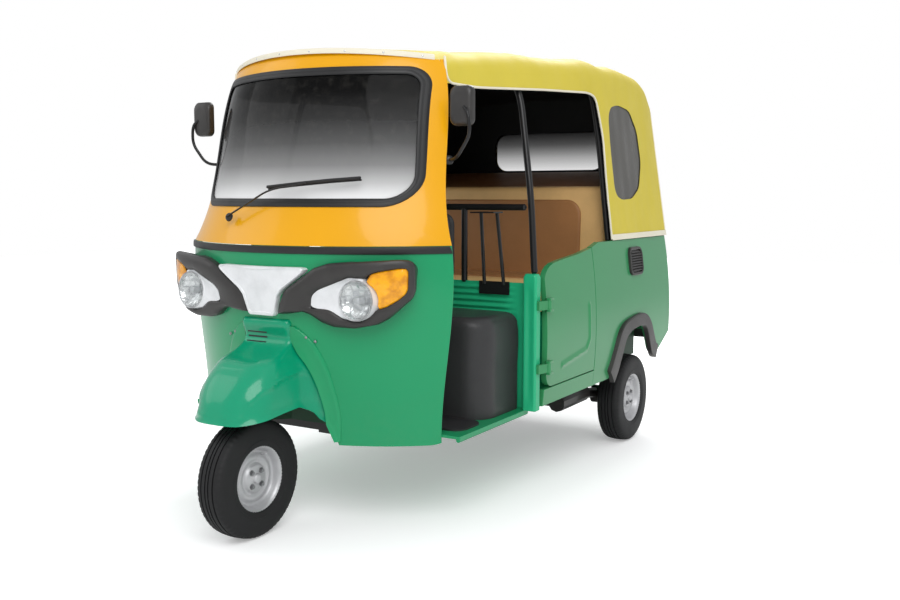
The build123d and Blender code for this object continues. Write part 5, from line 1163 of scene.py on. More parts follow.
# the roof's last part droops to the back, and its first part takes up the header's arch
DROOP_START, DROOP_LENGTH, HEADER_BLEND = 2.02, 0.3, 0.14
# the header's plan arc, and the dip of the roof behind the rear hoop: its depth, place and spread
HEADER_Y, HEADER_RADIUS = 0.268, 0.602
DIP, DIP_PLACE, DIP_SPREAD = 0.016, 1.66, 0.09
HOOPS = np.array((0.240, 0.950, 1.560, 2.230))
HOOD_HEM = np.array(
    ((0.240, 1.533), (0.655, 1.530), (1.100, 1.558), (1.455, 1.576), (1.520, HOOD_EAVES), (2.330, HOOD_EAVES))
)
SIDE_FRONT, SIDE_BEND = 1.618, (1.580, 1.387)
SIDE_BORDER = (
    (SIDE_FRONT, HOOD_LOW), (HOOD_BACK, HOOD_LOW), (HOOD_BACK, HOOD_EAVES), (1.520, HOOD_EAVES), SIDE_BEND,
)
SIDE_WINDOW = (
    (1.650, 1.525), (1.760, 1.548), (1.900, 1.535), (2.010, 1.450), (2.045, 1.300), (2.005, 1.190),
    (1.900, 1.135), (1.760, 1.130), (1.690, 1.160),
)
SIDE_CENTRE = np.array((1.835, 1.335))
REAR_WINDOW = ((-0.310, 1.280), (0.310, 1.280), (0.310, 1.470), (-0.310, 1.470))
REAR_WINDOW_CORNER = 0.06
HOOD_CENTRE = np.array((0.0, 1.375))


def hood_creases(y, across):
    """Small ripples: products of sines along and across the cloth."""
    depth = bpy.context.scene.rickshaw_hood.crease * np.clip((HOOD_BACK - y) / 0.12, 0, 1)
    broad = np.sin(23 * y + 3 * across) * np.sin(17 * across + 2 * y)
    return depth * (broad + 0.5 * np.sin(61 * y + 11 * across))


def hood_sag(y):
    """Dip of the cloth between hoops: sine squared from one hoop to the next."""
    bay = np.clip(np.searchsorted(HOOPS, y, "right") - 1, 0, len(HOOPS) - 2)
    t = np.clip((y - HOOPS[bay]) / (HOOPS[bay + 1] - HOOPS[bay]), 0, 1)
    return bpy.context.scene.rickshaw_hood.sag * np.sin(np.pi * t) ** 2


def hood_side(y, z, inset=0.0):
    """Half width of the hood's side: at each place a straight line from the belt to the top corner, drawn in
    by a shallow sine bow towards the back."""
    low, top_half, top = hermite(HOOD, y)
    t = (z - HOOD_LOW) / (top - HOOD_CORNER - HOOD_LOW)
    pull = 0.006 * np.sin(np.pi * np.clip(t, 0, 1))
    pull = pull * np.clip((y - 1.5) * 5, 0, 1) * np.clip((HOOD_BACK - y) / 0.2, 0, 1)
    return low + (top_half + HOOD_LEAN - low) * t - pull - inset + hood_creases(y, z)


def hood_roof(inset=0.0):
    """Roof from the header to the back: at each place a straight side, a quarter arc and a parabola to the
    middle. The first row follows the header's plan arc, found in four steps because it hangs on the width."""
    station = np.linspace(HOOPS[0], HOOD_BACK, 110)[:, None]
    side, bend, crown = np.linspace(0, 1, 9)[:-1], np.linspace(0, 1, 14)[:-1], np.linspace(0, 1, 26)
    # shares of the way up the side, round the arc and in to the middle, at every column
    up = np.concatenate([side, bend * 0 + 1, crown * 0 + 1])
    round_bend = np.concatenate([side * 0, bend, crown * 0 + 1])
    share = np.concatenate([side * 0, bend * 0, crown])
    radius = HOOD_CORNER
    y = station + 0 * share
    for _ in range(4):
        _, half, top = hermite(HOOD, y)
        half = half + HOOD_LEAN
        hem = np.interp(y, *HOOD_HEM.T)
        ends = top - radius
        start = np.arcsin(np.clip((hem - ends) / radius, 0, 0.97))
        turn = start + (np.pi / 2 - start) * round_bend
        arc = half - radius + (radius - inset) * np.cos(turn)
        x = np.where(share > 0, (half - radius) * (1 - share), arc)
        header = HEADER_Y + HEADER_RADIUS - np.sqrt(np.maximum(HEADER_RADIUS**2 - x**2, 0))
        header = np.minimum(header, HOOD_FRONT) + 2.5 * inset
        y = header + (station - HOOPS[0]) * (HOOD_BACK - header) / (HOOD_BACK - HOOPS[0])
    foot = np.minimum(hem, ends)
    side_z = np.where(hem > ends, hem, foot + (ends - foot) * up)
    camber = HOOD_CROWN * (0.4 + 0.6 * np.clip((y - HOOPS[0]) / 0.7, 0, 1) ** 0.8)
    z = top - radius + (radius - inset) * np.sin(turn) + camber * (1 - (x / half) ** 2) * np.sin(turn) ** 2
    on_side_wall = (np.arange(len(share)) < len(side)) & (hem < ends)
    z = np.where(on_side_wall, side_z, z)
    x = np.where(on_side_wall, hood_side(y, side_z, inset), x + hood_creases(y, z) * np.cos(turn))
    droop = DIP * np.exp(-(((y - DIP_PLACE) / DIP_SPREAD) ** 2))
    droop = droop + HOOD_DROOP * np.clip((y - DROOP_START) / DROOP_LENGTH, 0, 1) ** 1.6
    near_header = np.clip(1 - (y - header) / HEADER_BLEND, 0, 1) ** 2
    z = z - (droop + near_header * (HEADER - arched(x, HEADER))) * np.sin(turn) ** 2
    z = z - hood_sag(y) * np.sin(turn) ** 2 * (1 - 0.3 * share) + hood_creases(y, x) * np.sin(turn)
    half_grid = np.stack([x, y, z], -1)
    return np.concatenate([half_grid, half_grid[:, -2::-1] * (-1, 1, 1)], 1)


def with_corners(corners, centre, count):
    """Directions from a centre, among them the ones of the corners."""
    turns = [math.atan2(z - centre[1], y - centre[0]) % (2 * np.pi) for y, z in corners]
    return np.unique(np.concatenate([full_turn(count), turns]))


def window_reach(angle, grow=0.0):
    """Distance from the side window's centre to its edge, softened by averaging over nearby directions."""
    smooth = np.linspace(-0.16, 0.16, 9)
    return np.mean([reach_to(SIDE_WINDOW, SIDE_CENTRE, angle + s) for s in smooth], 0) + grow


def hood_quarter(inset=0.0):
    """Side of the hood behind the passenger: rings from the window out to the border."""
    angle = with_corners(SIDE_BORDER, SIDE_CENTRE, 200)
    outer, inner = reach_to(SIDE_BORDER, SIDE_CENTRE, angle), window_reach(angle)
    t = np.linspace(0, 1, 18)[:, None]
    y, z = np.moveaxis(polar(SIDE_CENTRE, angle, inner * (1 - t) + outer * t), -1, 0)
    return surface(np.stack([hood_side(y, z, inset), y, z], -1), around=True)


def hood_tail(inset=0.0):
    """Back of the hood: rings from the rear window out to the hood's outline, bowed a little."""
    low, half, top = HOOD[-1, 1], HOOD[-1, 2] + HOOD_LEAN, HOOD[-1, 3]
    turn = np.radians(np.linspace(0, 90, 8))
    arc = polar((half - HOOD_CORNER, top - HOOD_CORNER), turn, HOOD_CORNER)
    x = np.linspace(half - HOOD_CORNER, 0, 8)[1:]
    crown = np.stack([x, top - HOOD_DROOP + HOOD_CROWN * (1 - (x / half) ** 2)], -1)
    arc[:, 1] += (HOOD_CROWN * (1 - (arc[:, 0] / half) ** 2) - HOOD_DROOP) * np.sin(turn) ** 2
    right = np.vstack([[(low, HOOD_LOW)], arc, crown])
    border = np.vstack([right, right[-2::-1] * (-1, 1)])
    angle = with_corners(border, HOOD_CENTRE, 240)
    outer = reach_to(border, HOOD_CENTRE, angle)
    inner = reach_to(rounded_loop(REAR_WINDOW, REAR_WINDOW_CORNER, 10, 10), HOOD_CENTRE, angle)
    t = np.linspace(0, 1, 18)[:, None]
    x, z = np.moveaxis(polar(HOOD_CENTRE, angle, inner * (1 - t) + outer * t), -1, 0)
    y = HOOD_BACK - inset + 0.010 * (1 - t) + hood_creases(x, z) * np.minimum(1 - t, 0.5)
    return surface(np.stack([x, y, z], -1), around=True)


def hood_shapes(inset=0.0):
    """All sheets of the hood, moved in by an inset."""
    return [surface(hood_roof(inset)), hood_tail(inset)] + flip(hood_quarter(inset))


def two_faces(first, second, steps):
    """(inset, share) of rings out from the middle on one face of a film and back in on the other."""
    out = np.linspace(0, 1, steps)
    return [(first, share) for share in out] + [(second, share) for share in np.linspace(1, 0, steps)]


def rear_window_pane():
    """Film behind the rear window: its rounded outline shrunk to the middle on two planes."""
    loop = rounded_loop(REAR_WINDOW, REAR_WINDOW_CORNER, 10, 10) * (1.02, 1.0)
    middle = loop.mean(0)
    grids = []
    for depth, share in two_faces(0.002, 0.0045, 8):
        x, z = (middle + (loop - middle) * share * (1.0, 1.05)).T
        grids.append(np.column_stack([x, HOOD_BACK - depth + 0 * x, z]))
    return rings(*grids)


def side_window_pane():
    """Film behind the side window: its outline shrunk to the middle on two offsets of the hood's side."""
    angle = full_turn(120)
    edge = window_reach(angle, 0.006)
    grids = []
    for inset, share in two_faces(0.004, 0.006, 10):
        y, z = polar(SIDE_CENTRE, angle, edge * share).T
        grids.append(np.stack([hood_side(y, z, inset), y, z], -1))
    return rings(*grids)


def on_side(path, lift=0.0):
    """Points (y, z) put on the hood's side."""
    path = np.asarray(path, float)
    return np.stack([hood_side(path[:, 0], path[:, 1]) + lift, path[:, 0], path[:, 1]], -1)


def hood_piping():
    """White cord along the hem from the header, the front edge of the quarter and the back corners."""
    corners = [(0.489, 1.620), (0.489, 1.533), *HOOD_HEM[1:-1], SIDE_BEND, (SIDE_FRONT, 0.960)]
    front = rounded_path(corners, 0.04)
    along = np.linspace(0, len(front) - 1, 220)
    front = np.stack([np.interp(along, np.arange(len(front)), column) for column in front.T], -1)
    front = on_side(front, 0.001)
    corner_z = np.linspace(0.958, HOOD_EAVES, 30)
    corner = on_side(np.stack([np.full(30, HOOD_BACK - 0.001), corner_z], -1), 0.0)
    return flip(tube(front, 0.0045, 8), tube(corner, 0.0035, 8))


def hood_hem():
    """Flat tapes over the lower hem, along both quarters and across the back."""
    y = np.linspace(SIDE_FRONT, HOOD_BACK, 60)
    levels = ((0.954, 0.002), (0.954, 0.005), (0.978, 0.0045), (0.979, 0.0015))
    side = [on_side(np.column_stack([y, 0 * y + z]), lift) for z, lift in levels]
    x = np.linspace(-0.646, 0.646, 50)
    levels = ((0.954, 0.001), (0.954, 0.005), (0.978, 0.0045), (0.979, 0.001))
    back = [np.column_stack([x, HOOD_BACK + lift + 0 * x, z + 0 * x]) for z, lift in levels]
    return flip(strip(side)) + [strip(back)]


def header_tape():
    """Cream hem over the windscreen header: a rolled section of (height above the header's arc, rise)."""
    angle = np.radians(np.linspace(-48, 48, 90))
    section = (
        (0.0005, -0.004), (0.0035, -0.004), (0.0045, 0.000), (0.0035, 0.010), (-0.003, 0.0150),
        (-0.024, 0.0160),
    )
    grid = []
    for proud, rise in section:
        radius = HEADER_RADIUS + proud
        x = radius * np.sin(angle)
        lift = arched(x, HEADER + 0.002)
        grid.append(np.stack([x, HEADER_Y + HEADER_RADIUS - radius * np.cos(angle), lift + rise], -1))
    return strip(grid)


def header_studs():
    """A row of round heads along the header's arc."""
    angle = np.radians(np.linspace(-44, 44, 8))
    normal = np.stack([np.sin(angle), -np.cos(angle), 0 * angle], -1)
    height = arched(HEADER_RADIUS * np.sin(angle), HEADER + 0.006)
    centre = np.stack([0 * angle, HEADER_Y + HEADER_RADIUS + 0 * angle, height], -1)
    return [dome_head(c + n * (HEADER_RADIUS + 0.0040), n, 0.0035, 0.0018) for c, n in zip(centre, normal)]


# tubes of the hood frame: points and radius of the bends
FRONT_HOOP = ((0.628, 0.884, 0.863), (0.604, 0.900, 1.136), (0.530, 0.946, 1.545), (0.450, 0.952, 1.650))
REAR_HOOP = ((0.617, 1.634, 0.957), (0.584, 1.592, 1.387), (0.558, 1.564, 1.600), (0.500, 1.562, 1.694))
TOP_RAIL = ((0.428, 0.520, 1.592), (0.560, 1.500, 1.600), (0.522, 2.255, 1.582))


def frame_tubes():
    """Two bent hoops from side to side, and a rail under each edge of the roof."""
    shapes = []
    for hoop in (FRONT_HOOP, REAR_HOOP):
        left = np.array(hoop)
        shapes.append(tube(rounded_path(np.vstack([left, left[::-1] * (-1, 1, 1)]), 0.09), 0.0125, 12))
    return shapes + flip(tube(rounded_path(TOP_RAIL, 0.3), 0.011, 12))


# ------------------------------------------------------------------ body sides
SIDE_CURVE, SIDE_WALL = np.polyfit((0.955, 0.650, 0.345), (0.641, 0.671, 0.656), 2), 0.022
TAIL, TAIL_LOW, SIDE_TOP, TAIL_LEAN = 2.338, 0.475, 0.952, 0.021
ARCH = rounded_path(
    (
        (1.570, 0.350), (1.584, 0.362), (1.687, 0.538), (1.800, 0.558), (1.915, 0.566), (1.985, 0.545),
        (2.098, 0.395), (2.179, 0.385),
    ),
    0.045, 7,
)
BELT_LINE = ((1.470, SIDE_TOP), (TAIL, SIDE_TOP))
DOOR, DOOR_LOW, DOOR_CORNER = (0.912, 1.385), 0.42, 0.06
DOOR_TOP = (
    (DOOR[0], 0.838), (0.922, 0.853), (0.940, 0.868), (0.965, 0.881), (1.000, 0.891), (1.060, 0.898),
    (1.250, 0.914), (DOOR[1], 0.932),
)
DOOR_PRESS = ((1.318, 0.700), (1.322, 0.560), (1.290, 0.520), (1.055, 0.489))
QUARTER_FRONT, SIDE_FOOT, SILL_LOW, SILL_HIGH = 1.390, 0.905, 0.350, 0.415


def on_body(y, z, proud=0.0):
    """Points of the body's side, whose half width is a parabola of height."""
    return np.stack(np.broadcast_arrays(np.polyval(SIDE_CURVE, z) + proud, y, z), -1)


def side_patch(low, high, columns, rows, press=None, lean=0.0):
    """Sheet of the body side between two lines of height against place."""
    low, high = np.asarray(low, float), np.asarray(high, float)
    ends = max(low[0, 0], high[0, 0]), min(low[-1, 0], high[-1, 0])
    back = np.unique(np.concatenate([np.linspace(*ends, columns), low[:, 0], high[:, 0]]).clip(*ends))
    floor, roof = np.interp(back, *low.T), np.interp(back, *high.T)
    z = floor + np.linspace(0, 1, rows)[:, None] * (roof - floor)
    y = back - lean * np.clip((z - TAIL_LOW) / 0.477, 0, 1) * (back - ends[0]) / (ends[1] - ends[0])
    proud = press(y, z) if press else 0.0
    return thick(*[on_body(y, z, proud) - (inset, 0, 0) for inset in (0.0, SIDE_WALL)])


def ridge(path, width, height):
    """A pressed bead: cosine section about a line of points (y, z)."""
    path = np.asarray(path, float)

    def press(y, z):
        place = np.stack([y, z], -1)[..., None, :]
        start, run = path[:-1], path[1:] - path[:-1]
        t = np.clip(((place - start) * run).sum(-1) / (run**2).sum(-1), 0, 1)
        away = np.linalg.norm(place - start - t[..., None] * run, axis=-1).min(-1)
        return height * 0.5 * (1 + np.cos(np.pi * np.clip(away / width, 0, 1)))

    return press


def side_shapes(left):
    """Rear quarter with its arch. The right side carries on forwards to the partition."""
    low = np.vstack([[(QUARTER_FRONT, SILL_LOW)], ARCH, [(TAIL, TAIL_LOW)]])
    if left:
        top = ((QUARTER_FRONT, 0.934), *BELT_LINE)
        sill = [((SIDE_FOOT, level), (QUARTER_FRONT, level)) for level in (SILL_LOW, SILL_HIGH)]
        return [side_patch(low, top, 150, 50, lean=TAIL_LEAN), side_patch(*sill, 30, 6)]
    low[0, 0] = SIDE_FOOT
    top = ((SIDE_FOOT, 0.843), (0.960, 0.880), (DOOR[1], 0.932), *BELT_LINE)
    points, faces = side_patch(low, top, 200, 50, lean=TAIL_LEAN)
    return (points * (-1, 1, 1), faces)


def door_shapes():
    """Door skin with a rounded lower front corner and a pressed bead."""
    turn = np.linspace(0, np.pi / 2, 14)
    across, down = DOOR_CORNER * (1 - np.cos(turn)), DOOR_CORNER * (1 - np.sin(turn))
    corner = np.stack([DOOR[0] + across, DOOR_LOW + down], -1)
    corner[0, 0] += 1e-5
    low = np.vstack([corner, [(DOOR[1], DOOR_LOW)]])
    return side_patch(low, DOOR_TOP, 90, 70, press=ridge(DOOR_PRESS, 0.016, 0.006))


# distance out from the arch, height above the side
ARCH_SECTION = (
    (0.0, -0.004), (0.0, 0.0155), (0.003, 0.0178), (0.020, 0.0180), (0.040, 0.0172), (0.0445, 0.0140),
    (0.0455, 0.0),
)


def arch_trim_shapes():
    """Band round the wheel arch: a rolled section carried along the arch in the plane of the side."""
    line = ARCH[1:-1]
    tangent = np.gradient(line, axis=0)
    tangent /= np.linalg.norm(tangent, axis=1, keepdims=True)
    outward = np.stack([-tangent[:, 1], tangent[:, 0]], -1)
    place = line[:, :1]
    inwards = 0.030 * np.clip((1.78 - place) / 0.16, 0, 1) + 0.012 * np.clip((place - 1.95) / 0.1, 0, 1)
    inwards = inwards + 0.012
    loops = []
    for away, proud in ARCH_SECTION:
        band = line + outward * (away - inwards * (away < 0.01))
        loops.append(on_body(band[:, 0], band[:, 1], proud))
    return flip(carried(loops))


# front, back, low and high edge of the vents in each side
LOUVRE = (1.790, 1.950, 0.787, 0.915)
LOUVRE_SLATS, LOUVRE_CORNER, LOUVRE_RIM = 8, 0.034, 0.017
# distance in from the edge, height above the side
LOUVRE_FRAME = (
    (0.0, 0.0), (0.0, 0.010), (0.003, 0.0125), (0.008, 0.0125), (0.012, 0.0105), (0.013, 0.002),
    (0.05, 0.002),
)
# height above the side, rise
SLAT = ((0.0030, 0.0060), (0.0108, -0.0010), (0.0118, -0.0030), (0.0100, -0.0040), (0.0030, 0.0025))


def louvre_shapes():
    """Vents with rounded corners: a frame of rounded rectangle rings, a dark back plate and tilted slats."""
    front, back, low, high = LOUVRE
    middle = np.array(((front + back) / 2, (low + high) / 2))
    half = np.array(((back - front) / 2, (high - low) / 2))
    loops = []
    for inset, proud in LOUVRE_FRAME:
        loop = rectangle(*(half - inset), max(LOUVRE_CORNER - inset, 0.006), 10, 12) + middle
        loops.append(on_body(loop[:, 0], loop[:, 1], proud))
    shapes = [block(*loops)]
    pitch = (high - low - 2 * LOUVRE_RIM) / LOUVRE_SLATS
    for number in range(LOUVRE_SLATS):
        level = low + LOUVRE_RIM + (number + 0.5) * pitch
        span = half[0] - (0.012 if 0 < number < LOUVRE_SLATS - 1 else 0.024)
        y = np.linspace(middle[0] - span, middle[0] + span, 12)
        slat = [on_body(y, level, proud) + (0, 0, rise) for proud, rise in SLAT]
        shapes.append(strip(slat))
    return flip(*shapes)


# floor: x of its cuts, y of its cuts, level of the top; its rolled edge's middle and radius
FLOOR_X, FLOOR_Y, FLOOR_TOP = (0.608, 0.262, 0.0303), (0.366, 0.410, 0.4803, 1.3747), 0.340
FLOOR_ROLL, FLOOR_ROLL_RADIUS, FLOOR_ROLL_TOP = (0.6005, 0.327), 0.0085, 0.3385


def floor_shapes():
    """Floor plate, a masked grid between its cuts, with a rolled edge along the foot of each doorway."""
    x = np.concatenate([-np.array(FLOOR_X), FLOOR_X[::-1]])
    column, row = np.meshgrid(x, FLOOR_Y)
    grid = np.stack([column, row, np.full_like(row, FLOOR_TOP)], -1)
    keep = np.ones((len(FLOOR_Y) - 1, len(x) - 1), bool)
    keep[0, 1:4] = False
    keep[:2, 2] = False
    shapes = [thick(grid, grid - (0, 0, 0.010), mask=keep)]
    roll = polar(FLOOR_ROLL, np.radians(np.linspace(0, -180, 9)), FLOOR_ROLL_RADIUS)
    lip = [(0.608, FLOOR_ROLL_TOP), *roll, (0.592, FLOOR_ROLL_TOP)]
    y = np.linspace(0.368, 0.879, 12)
    edge = [np.column_stack([u + 0 * y, y, w + 0 * y]) for u, w in lip]
    return shapes + flip(carried(edge))


# posts and pressed panel behind the driver
POST_X, POST_BACK, POST_LOW, POST_HALF = 0.628, 0.865, 0.3405, (0.0278, 0.0228)
PANEL_FRONT, PANEL_HIGH, PANEL_WALL = 0.8805, 0.820, 0.007
PANEL_RIBS, RIB_PITCH, RIB_DEPTH, RIB_TOP, RIB_REACH = 5, 0.024, 0.0065, 0.022, 0.540
# level, depth of the sunk face or, at the rounded top, how far the sides and the faces draw in
POST_STEPS = (
    (POST_LOW, 0.0, (0, 0)), (0.352, 0.0, (0, 0)), (0.380, 0.0, (0, 0)), (0.395, 0.004, (0, 0)),
    (0.60, 0.004, (0, 0)), (0.790, 0.004, (0, 0)), (0.805, 0.0, (0, 0)), (0.845, 0.0, (0, 0)),
    (0.854, 0.0, (0.004, 0.0025)), (0.858, 0.0, (0.004, 0.008)),
)


def partition_shapes():
    """Panel with pressed ribs, a cosine wave of height, between two posts with a sunk face."""
    z = np.linspace(POST_LOW, PANEL_HIGH, 240)[:, None]
    x = np.linspace(-POST_X, POST_X, 60)[None]
    band = (PANEL_HIGH - RIB_TOP + RIB_PITCH / 2 - z) / RIB_PITCH
    inside = (band > 0) & (band < PANEL_RIBS)
    edge = np.clip((RIB_REACH - np.abs(x)) / 0.03, 0, 1)
    y = PANEL_FRONT - RIB_DEPTH * (0.5 - 0.5 * np.cos(2 * np.pi * band)) * inside * edge
    grid = np.stack(np.broadcast_arrays(x, y, z), -1)
    shapes = [thick(grid, grid + (0, PANEL_WALL, 0))]
    loops = []
    for level, depth, drawn in POST_STEPS:
        loop = rectangle(*np.subtract(POST_HALF, drawn), 0.009)
        hollow = np.exp(-((loop[:, 0] / 0.013) ** 2)) * (loop[:, 1] < 0) * depth
        loops.append(at_level(loop + np.column_stack([0 * hollow, hollow]) + (POST_X, POST_BACK), level))
    return shapes + flip(block(*loops))


# ------------------------------------------------------------------ upholstery


PAD_BULGE, SEAM_DEPTH, SEAM_WIDTH = 0.008, 0.006, 0.009


def pad(half, depth, corner, roll, crown, seams=()):
    """Upholstered block standing on its base: rounded rectangle rings rise up bulging sides, roll over by a
    quarter arc and close over a parabolic crown. Upright seams are bell-shaped dips. Rows are (u, v, w)."""
    half = np.array(half)
    outline = rectangle(*half, corner, 10, 44)
    rise = np.linspace(0, 1, 9)
    loops = [(outline * (1 + PAD_BULGE * 4 * t * (1 - t) / half[0]), t * (depth - roll)) for t in rise]
    for a in np.radians(np.linspace(8, 90, 8)):
        inset = roll * (1 - math.cos(a))
        loops.append((outline * ((half - inset) / half), depth - roll + roll * math.sin(a)))
    loops += [(loops[-1][0] * s, depth + crown * (1 - s * s)) for s in np.linspace(1, 0, 40)[1:]]
    grids = []
    for loop, level in loops:
        dips = [np.exp(-(((loop[:, 0] - seam) / SEAM_WIDTH) ** 2)) for seam in seams]
        dip = SEAM_DEPTH * sum(dips) * (level > depth - roll)
        grids.append(np.column_stack([loop, level - dip + 0 * loop[:, 0]]))
    return rings(*grids, fill_first=True)


def upright(shape, centre, lean):
    """A pad stood up facing forwards: v becomes height and w runs forwards, leaning back with height."""
    u, v, w = shape[0].T
    return np.column_stack([u + centre[0], centre[1] - w + lean * v, centre[2] + v]), shape[1]


def laid(shape, centre):
    """A pad laid flat at a place."""
    return shape[0] + centre, shape[1]


def welt(half, corner, level):
    """Piping round a pad's edge."""
    return tube(at_level(rectangle(*half, corner, 8, 20), level), 0.004, 8, closed=True)


# middles of the passenger cushion's base, the passenger's backrest and the driver's
BENCH, BACKREST, DRIVER_REST, BACK_LEAN = (0, 1.511, 0.656), (0, 1.772, 0.925), (0, 0.8715, 0.945), 0.05
BOX_HALF, BOX_FRONT, BOX_BACK, BOX_TOP, BOX_ROLL = 0.570, 0.592, 0.872, 0.7105, 0.045
BOX_SEAM = 0.19


def driver_box():
    """Driver's seat: plan rings with rounded front corners and square back ones, rolled over by a quarter arc
    at the top edge and closed over a parabolic crown with two seams."""
    corners = ((-BOX_HALF, BOX_FRONT), (BOX_HALF, BOX_FRONT), (BOX_HALF, BOX_BACK), (-BOX_HALF, BOX_BACK))
    outline = rounded_loop(corners, (0.095, 0.095, 0.012, 0.012), 12, 40)
    middle = outline.mean(0) + (0, 0.01)
    levels = [(0.0, 0.341), (0.0, 0.50), (-0.003, 0.600), (-0.002, 0.645), (0.001, 0.665)]
    for a in np.radians((15, 30, 45, 60, 75, 88)):
        levels.append((BOX_ROLL * (1 - math.cos(a)), 0.666 + BOX_ROLL * math.sin(a)))
    loops = []
    for inset, height in levels:
        share = (1 - inset / BOX_HALF, 1 - inset / (BOX_BACK - BOX_FRONT))
        loops.append(at_level(middle + (outline - middle) * share, height))
    last = loops[-1][:, :2]
    for s in np.linspace(1, 0, 26)[1:]:
        loop = middle + (last - middle) * s
        seam = SEAM_DEPTH * np.exp(-((np.abs(loop[:, 0]) - BOX_SEAM) / 0.008) ** 2)
        loops.append(np.column_stack([loop, BOX_TOP + 0.012 * (1 - s * s) - seam]))
    return rings(*loops, fill_first=True)


# ------------------------------------------------------------------ fittings
MIRROR = (0.585, 0.416, 1.445)
MIRROR_ARM = (
    (0.519, 0.440, 1.268), (0.570, 0.410, 1.272), (0.628, 0.398, 1.350), (0.622, 0.394, 1.420),
    (0.600, 0.404, 1.440),
)
# place behind the mirror's middle, share of its size, corner radius
MIRROR_HALF = np.array((0.043, 0.066))
MIRROR_STEPS = (
    (0.013, 0.90, 0.02), (0.0150, 0.93, 0.02), (0.0150, 1.0, 0.022), (0.006, 1.0, 0.022),
    (-0.004, 0.98, 0.024), (-0.010, 0.92, 0.026), (-0.0140, 0.80, 0.026), (-0.0150, 0.6, 0.02),
)
WIPER_PIVOT = (-0.178, 0.117, 1.075)
WIPER_BLADE = (
    (0.0, 0.117, 1.178), (0.100, 0.122, 1.187), (0.160, 0.133, 1.1925), (0.240, 0.158, 1.200),
    (0.325, 0.203, 1.207),
)
# handlebar and brake lever: place to the left and behind the steering axis, in the bar's plane
BAR_LEFT = ((0.0, 0.0), (0.080, 0.0), (0.170, 0.022), (0.300, 0.062))
LEVER = ((0.185, 0.030), (0.194, 0.002), (0.284, 0.032), (0.300, 0.046))
STEER_FOOT_Y, STEER_RAKE, BAR_LEVEL = -0.020, math.radians(23.0), 0.885


def facing(loop, centre, depth):
    """An outline stood up behind a centre, facing along the vehicle."""
    x, z = loop.T
    return np.column_stack([x + centre[0], centre[1] + depth + 0 * x, z + centre[2]])


def mirror_shapes():
    """Mirror shell: rounded rectangle rings swelling from the rim at the back to a flat dome in front."""
    loops = []
    for depth, share, radius in MIRROR_STEPS:
        loops.append(facing(rectangle(*(MIRROR_HALF * share), radius, 8, 8), MIRROR, depth))
    return flip(block(*loops))


def mirror_panes():
    """Mirror glass, with a small bevel."""
    loop = rectangle(0.0375, 0.0585, 0.016, 8, 8)
    steps = ((0.0125, 0.99), (0.0140, 0.99), (0.0145, 0.96))
    loops = [facing(loop * share, MIRROR, depth) for depth, share in steps]
    return flip(block(*loops))


def arm_shapes():
    """Bent arms of the mirrors on their round bases."""
    base = dome_head((0.523, 0.436, 1.268), (0.55, -0.80, 0.1), 0.017, 0.008)
    return flip(tube(rounded_path(MIRROR_ARM, 0.03), 0.0058, 12), base)


def wiper_shapes():
    """Wiper: boss, flat arm and blade holder standing off the glass."""
    pivot = np.array(WIPER_PIVOT)
    normal = (-0.1, -0.93, 0.3)
    arm = rounded_path((pivot + (0, -0.010, 0.002), (0.019, 0.101, 1.168), (0.160, 0.120, 1.190)), 0.04)
    rubber = [(x, y + 0.006, z - 0.007) for x, y, z in WIPER_BLADE]
    return [
        dome_head(pivot + (0, 0.004, -0.001), normal, 0.016, 0.014), tube(arm, 0.0050, 10, flat=0.6),
        tube(rounded_path(WIPER_BLADE, 0.03), 0.0052, 10), tube(rounded_path(rubber, 0.03), 0.0030, 8),
    ]


def on_bar(x, back):
    """A place in the plane of the handlebar, which is square to the raked steering axis."""
    c, s = math.cos(STEER_RAKE), math.sin(STEER_RAKE)
    return np.array((x, STEER_FOOT_Y + BAR_LEVEL * s + back * c, AXLE_HEIGHT + BAR_LEVEL * c - back * s))


def bar_shapes():
    """Handlebar with its two brake levers."""
    half = [on_bar(*point) for point in BAR_LEFT]
    whole = [p * (-1, 1, 1) for p in half[:0:-1]] + half
    shapes = [tube(rounded_path(whole, 0.05), 0.0115, 12)]
    for side in (1, -1):
        lever = [on_bar(*point) * (side, 1, 1) for point in LEVER]
        shapes.append(tube(rounded_path(lever, 0.02), 0.0055, 10))
    return shapes


def grip_shapes():
    """Ribbed grips: radius waves along the bar."""
    start, end = on_bar(0.186, 0.027), on_bar(0.304, 0.0632)
    t = np.linspace(0, 1, 90)
    radius = 0.0165 + 0.0012 * np.sin(t * 2 * np.pi * 16) + 0.003 * np.exp(-((t / 0.03) ** 2))
    return flip(tube(start + (end - start) * t[:, None], radius, 18))


HINGE_LEVELS, HINGE_PIN = (0.500, 0.740), (0.680, 0.909)
HINGE_PLATE = ((0.672, 0.901), (0.688, 0.901), (0.686, 0.938), (0.656, 0.938), (0.656, 0.918))
RAIL_BACK, RAIL_POST, RAIL_HALF, RAIL_LEVEL = 0.884, 0.325, 0.585, 1.105
# depth behind the tail panel, height
BUMPER_SECTION = (
    (0.001, 0.430), (0.016, 0.430), (0.0225, 0.434), (0.0262, 0.442), (0.0265, 0.480), (0.0225, 0.488),
    (0.016, 0.492), (0.001, 0.492),
)


def door_lugs():
    """Pins and small plates of the door's hinges, on the door's side."""
    shapes = []
    for height in HINGE_LEVELS:
        shapes.append(tube([(*HINGE_PIN, height + end) for end in (-0.024, 0.024)], 0.0048, 12))
        for end in (-0.0215, 0.0215):
            loop = rounded_loop(HINGE_PLATE, 0.002, 3, 3)
            faces = [at_level(loop, height + end + z) for z in (-0.004, 0.004)]
            shapes.append(block(*faces))
    return shapes


def rail_shapes():
    """Guard rail behind the driver on its two posts."""
    posts = [tube([(x, RAIL_BACK, z) for z in (0.820, 1.100)], 0.0122, 12) for x in (RAIL_POST, -RAIL_POST)]
    return posts + [tube([(x, RAIL_BACK, RAIL_LEVEL) for x in (-RAIL_HALF, RAIL_HALF)], 0.0125, 14)]


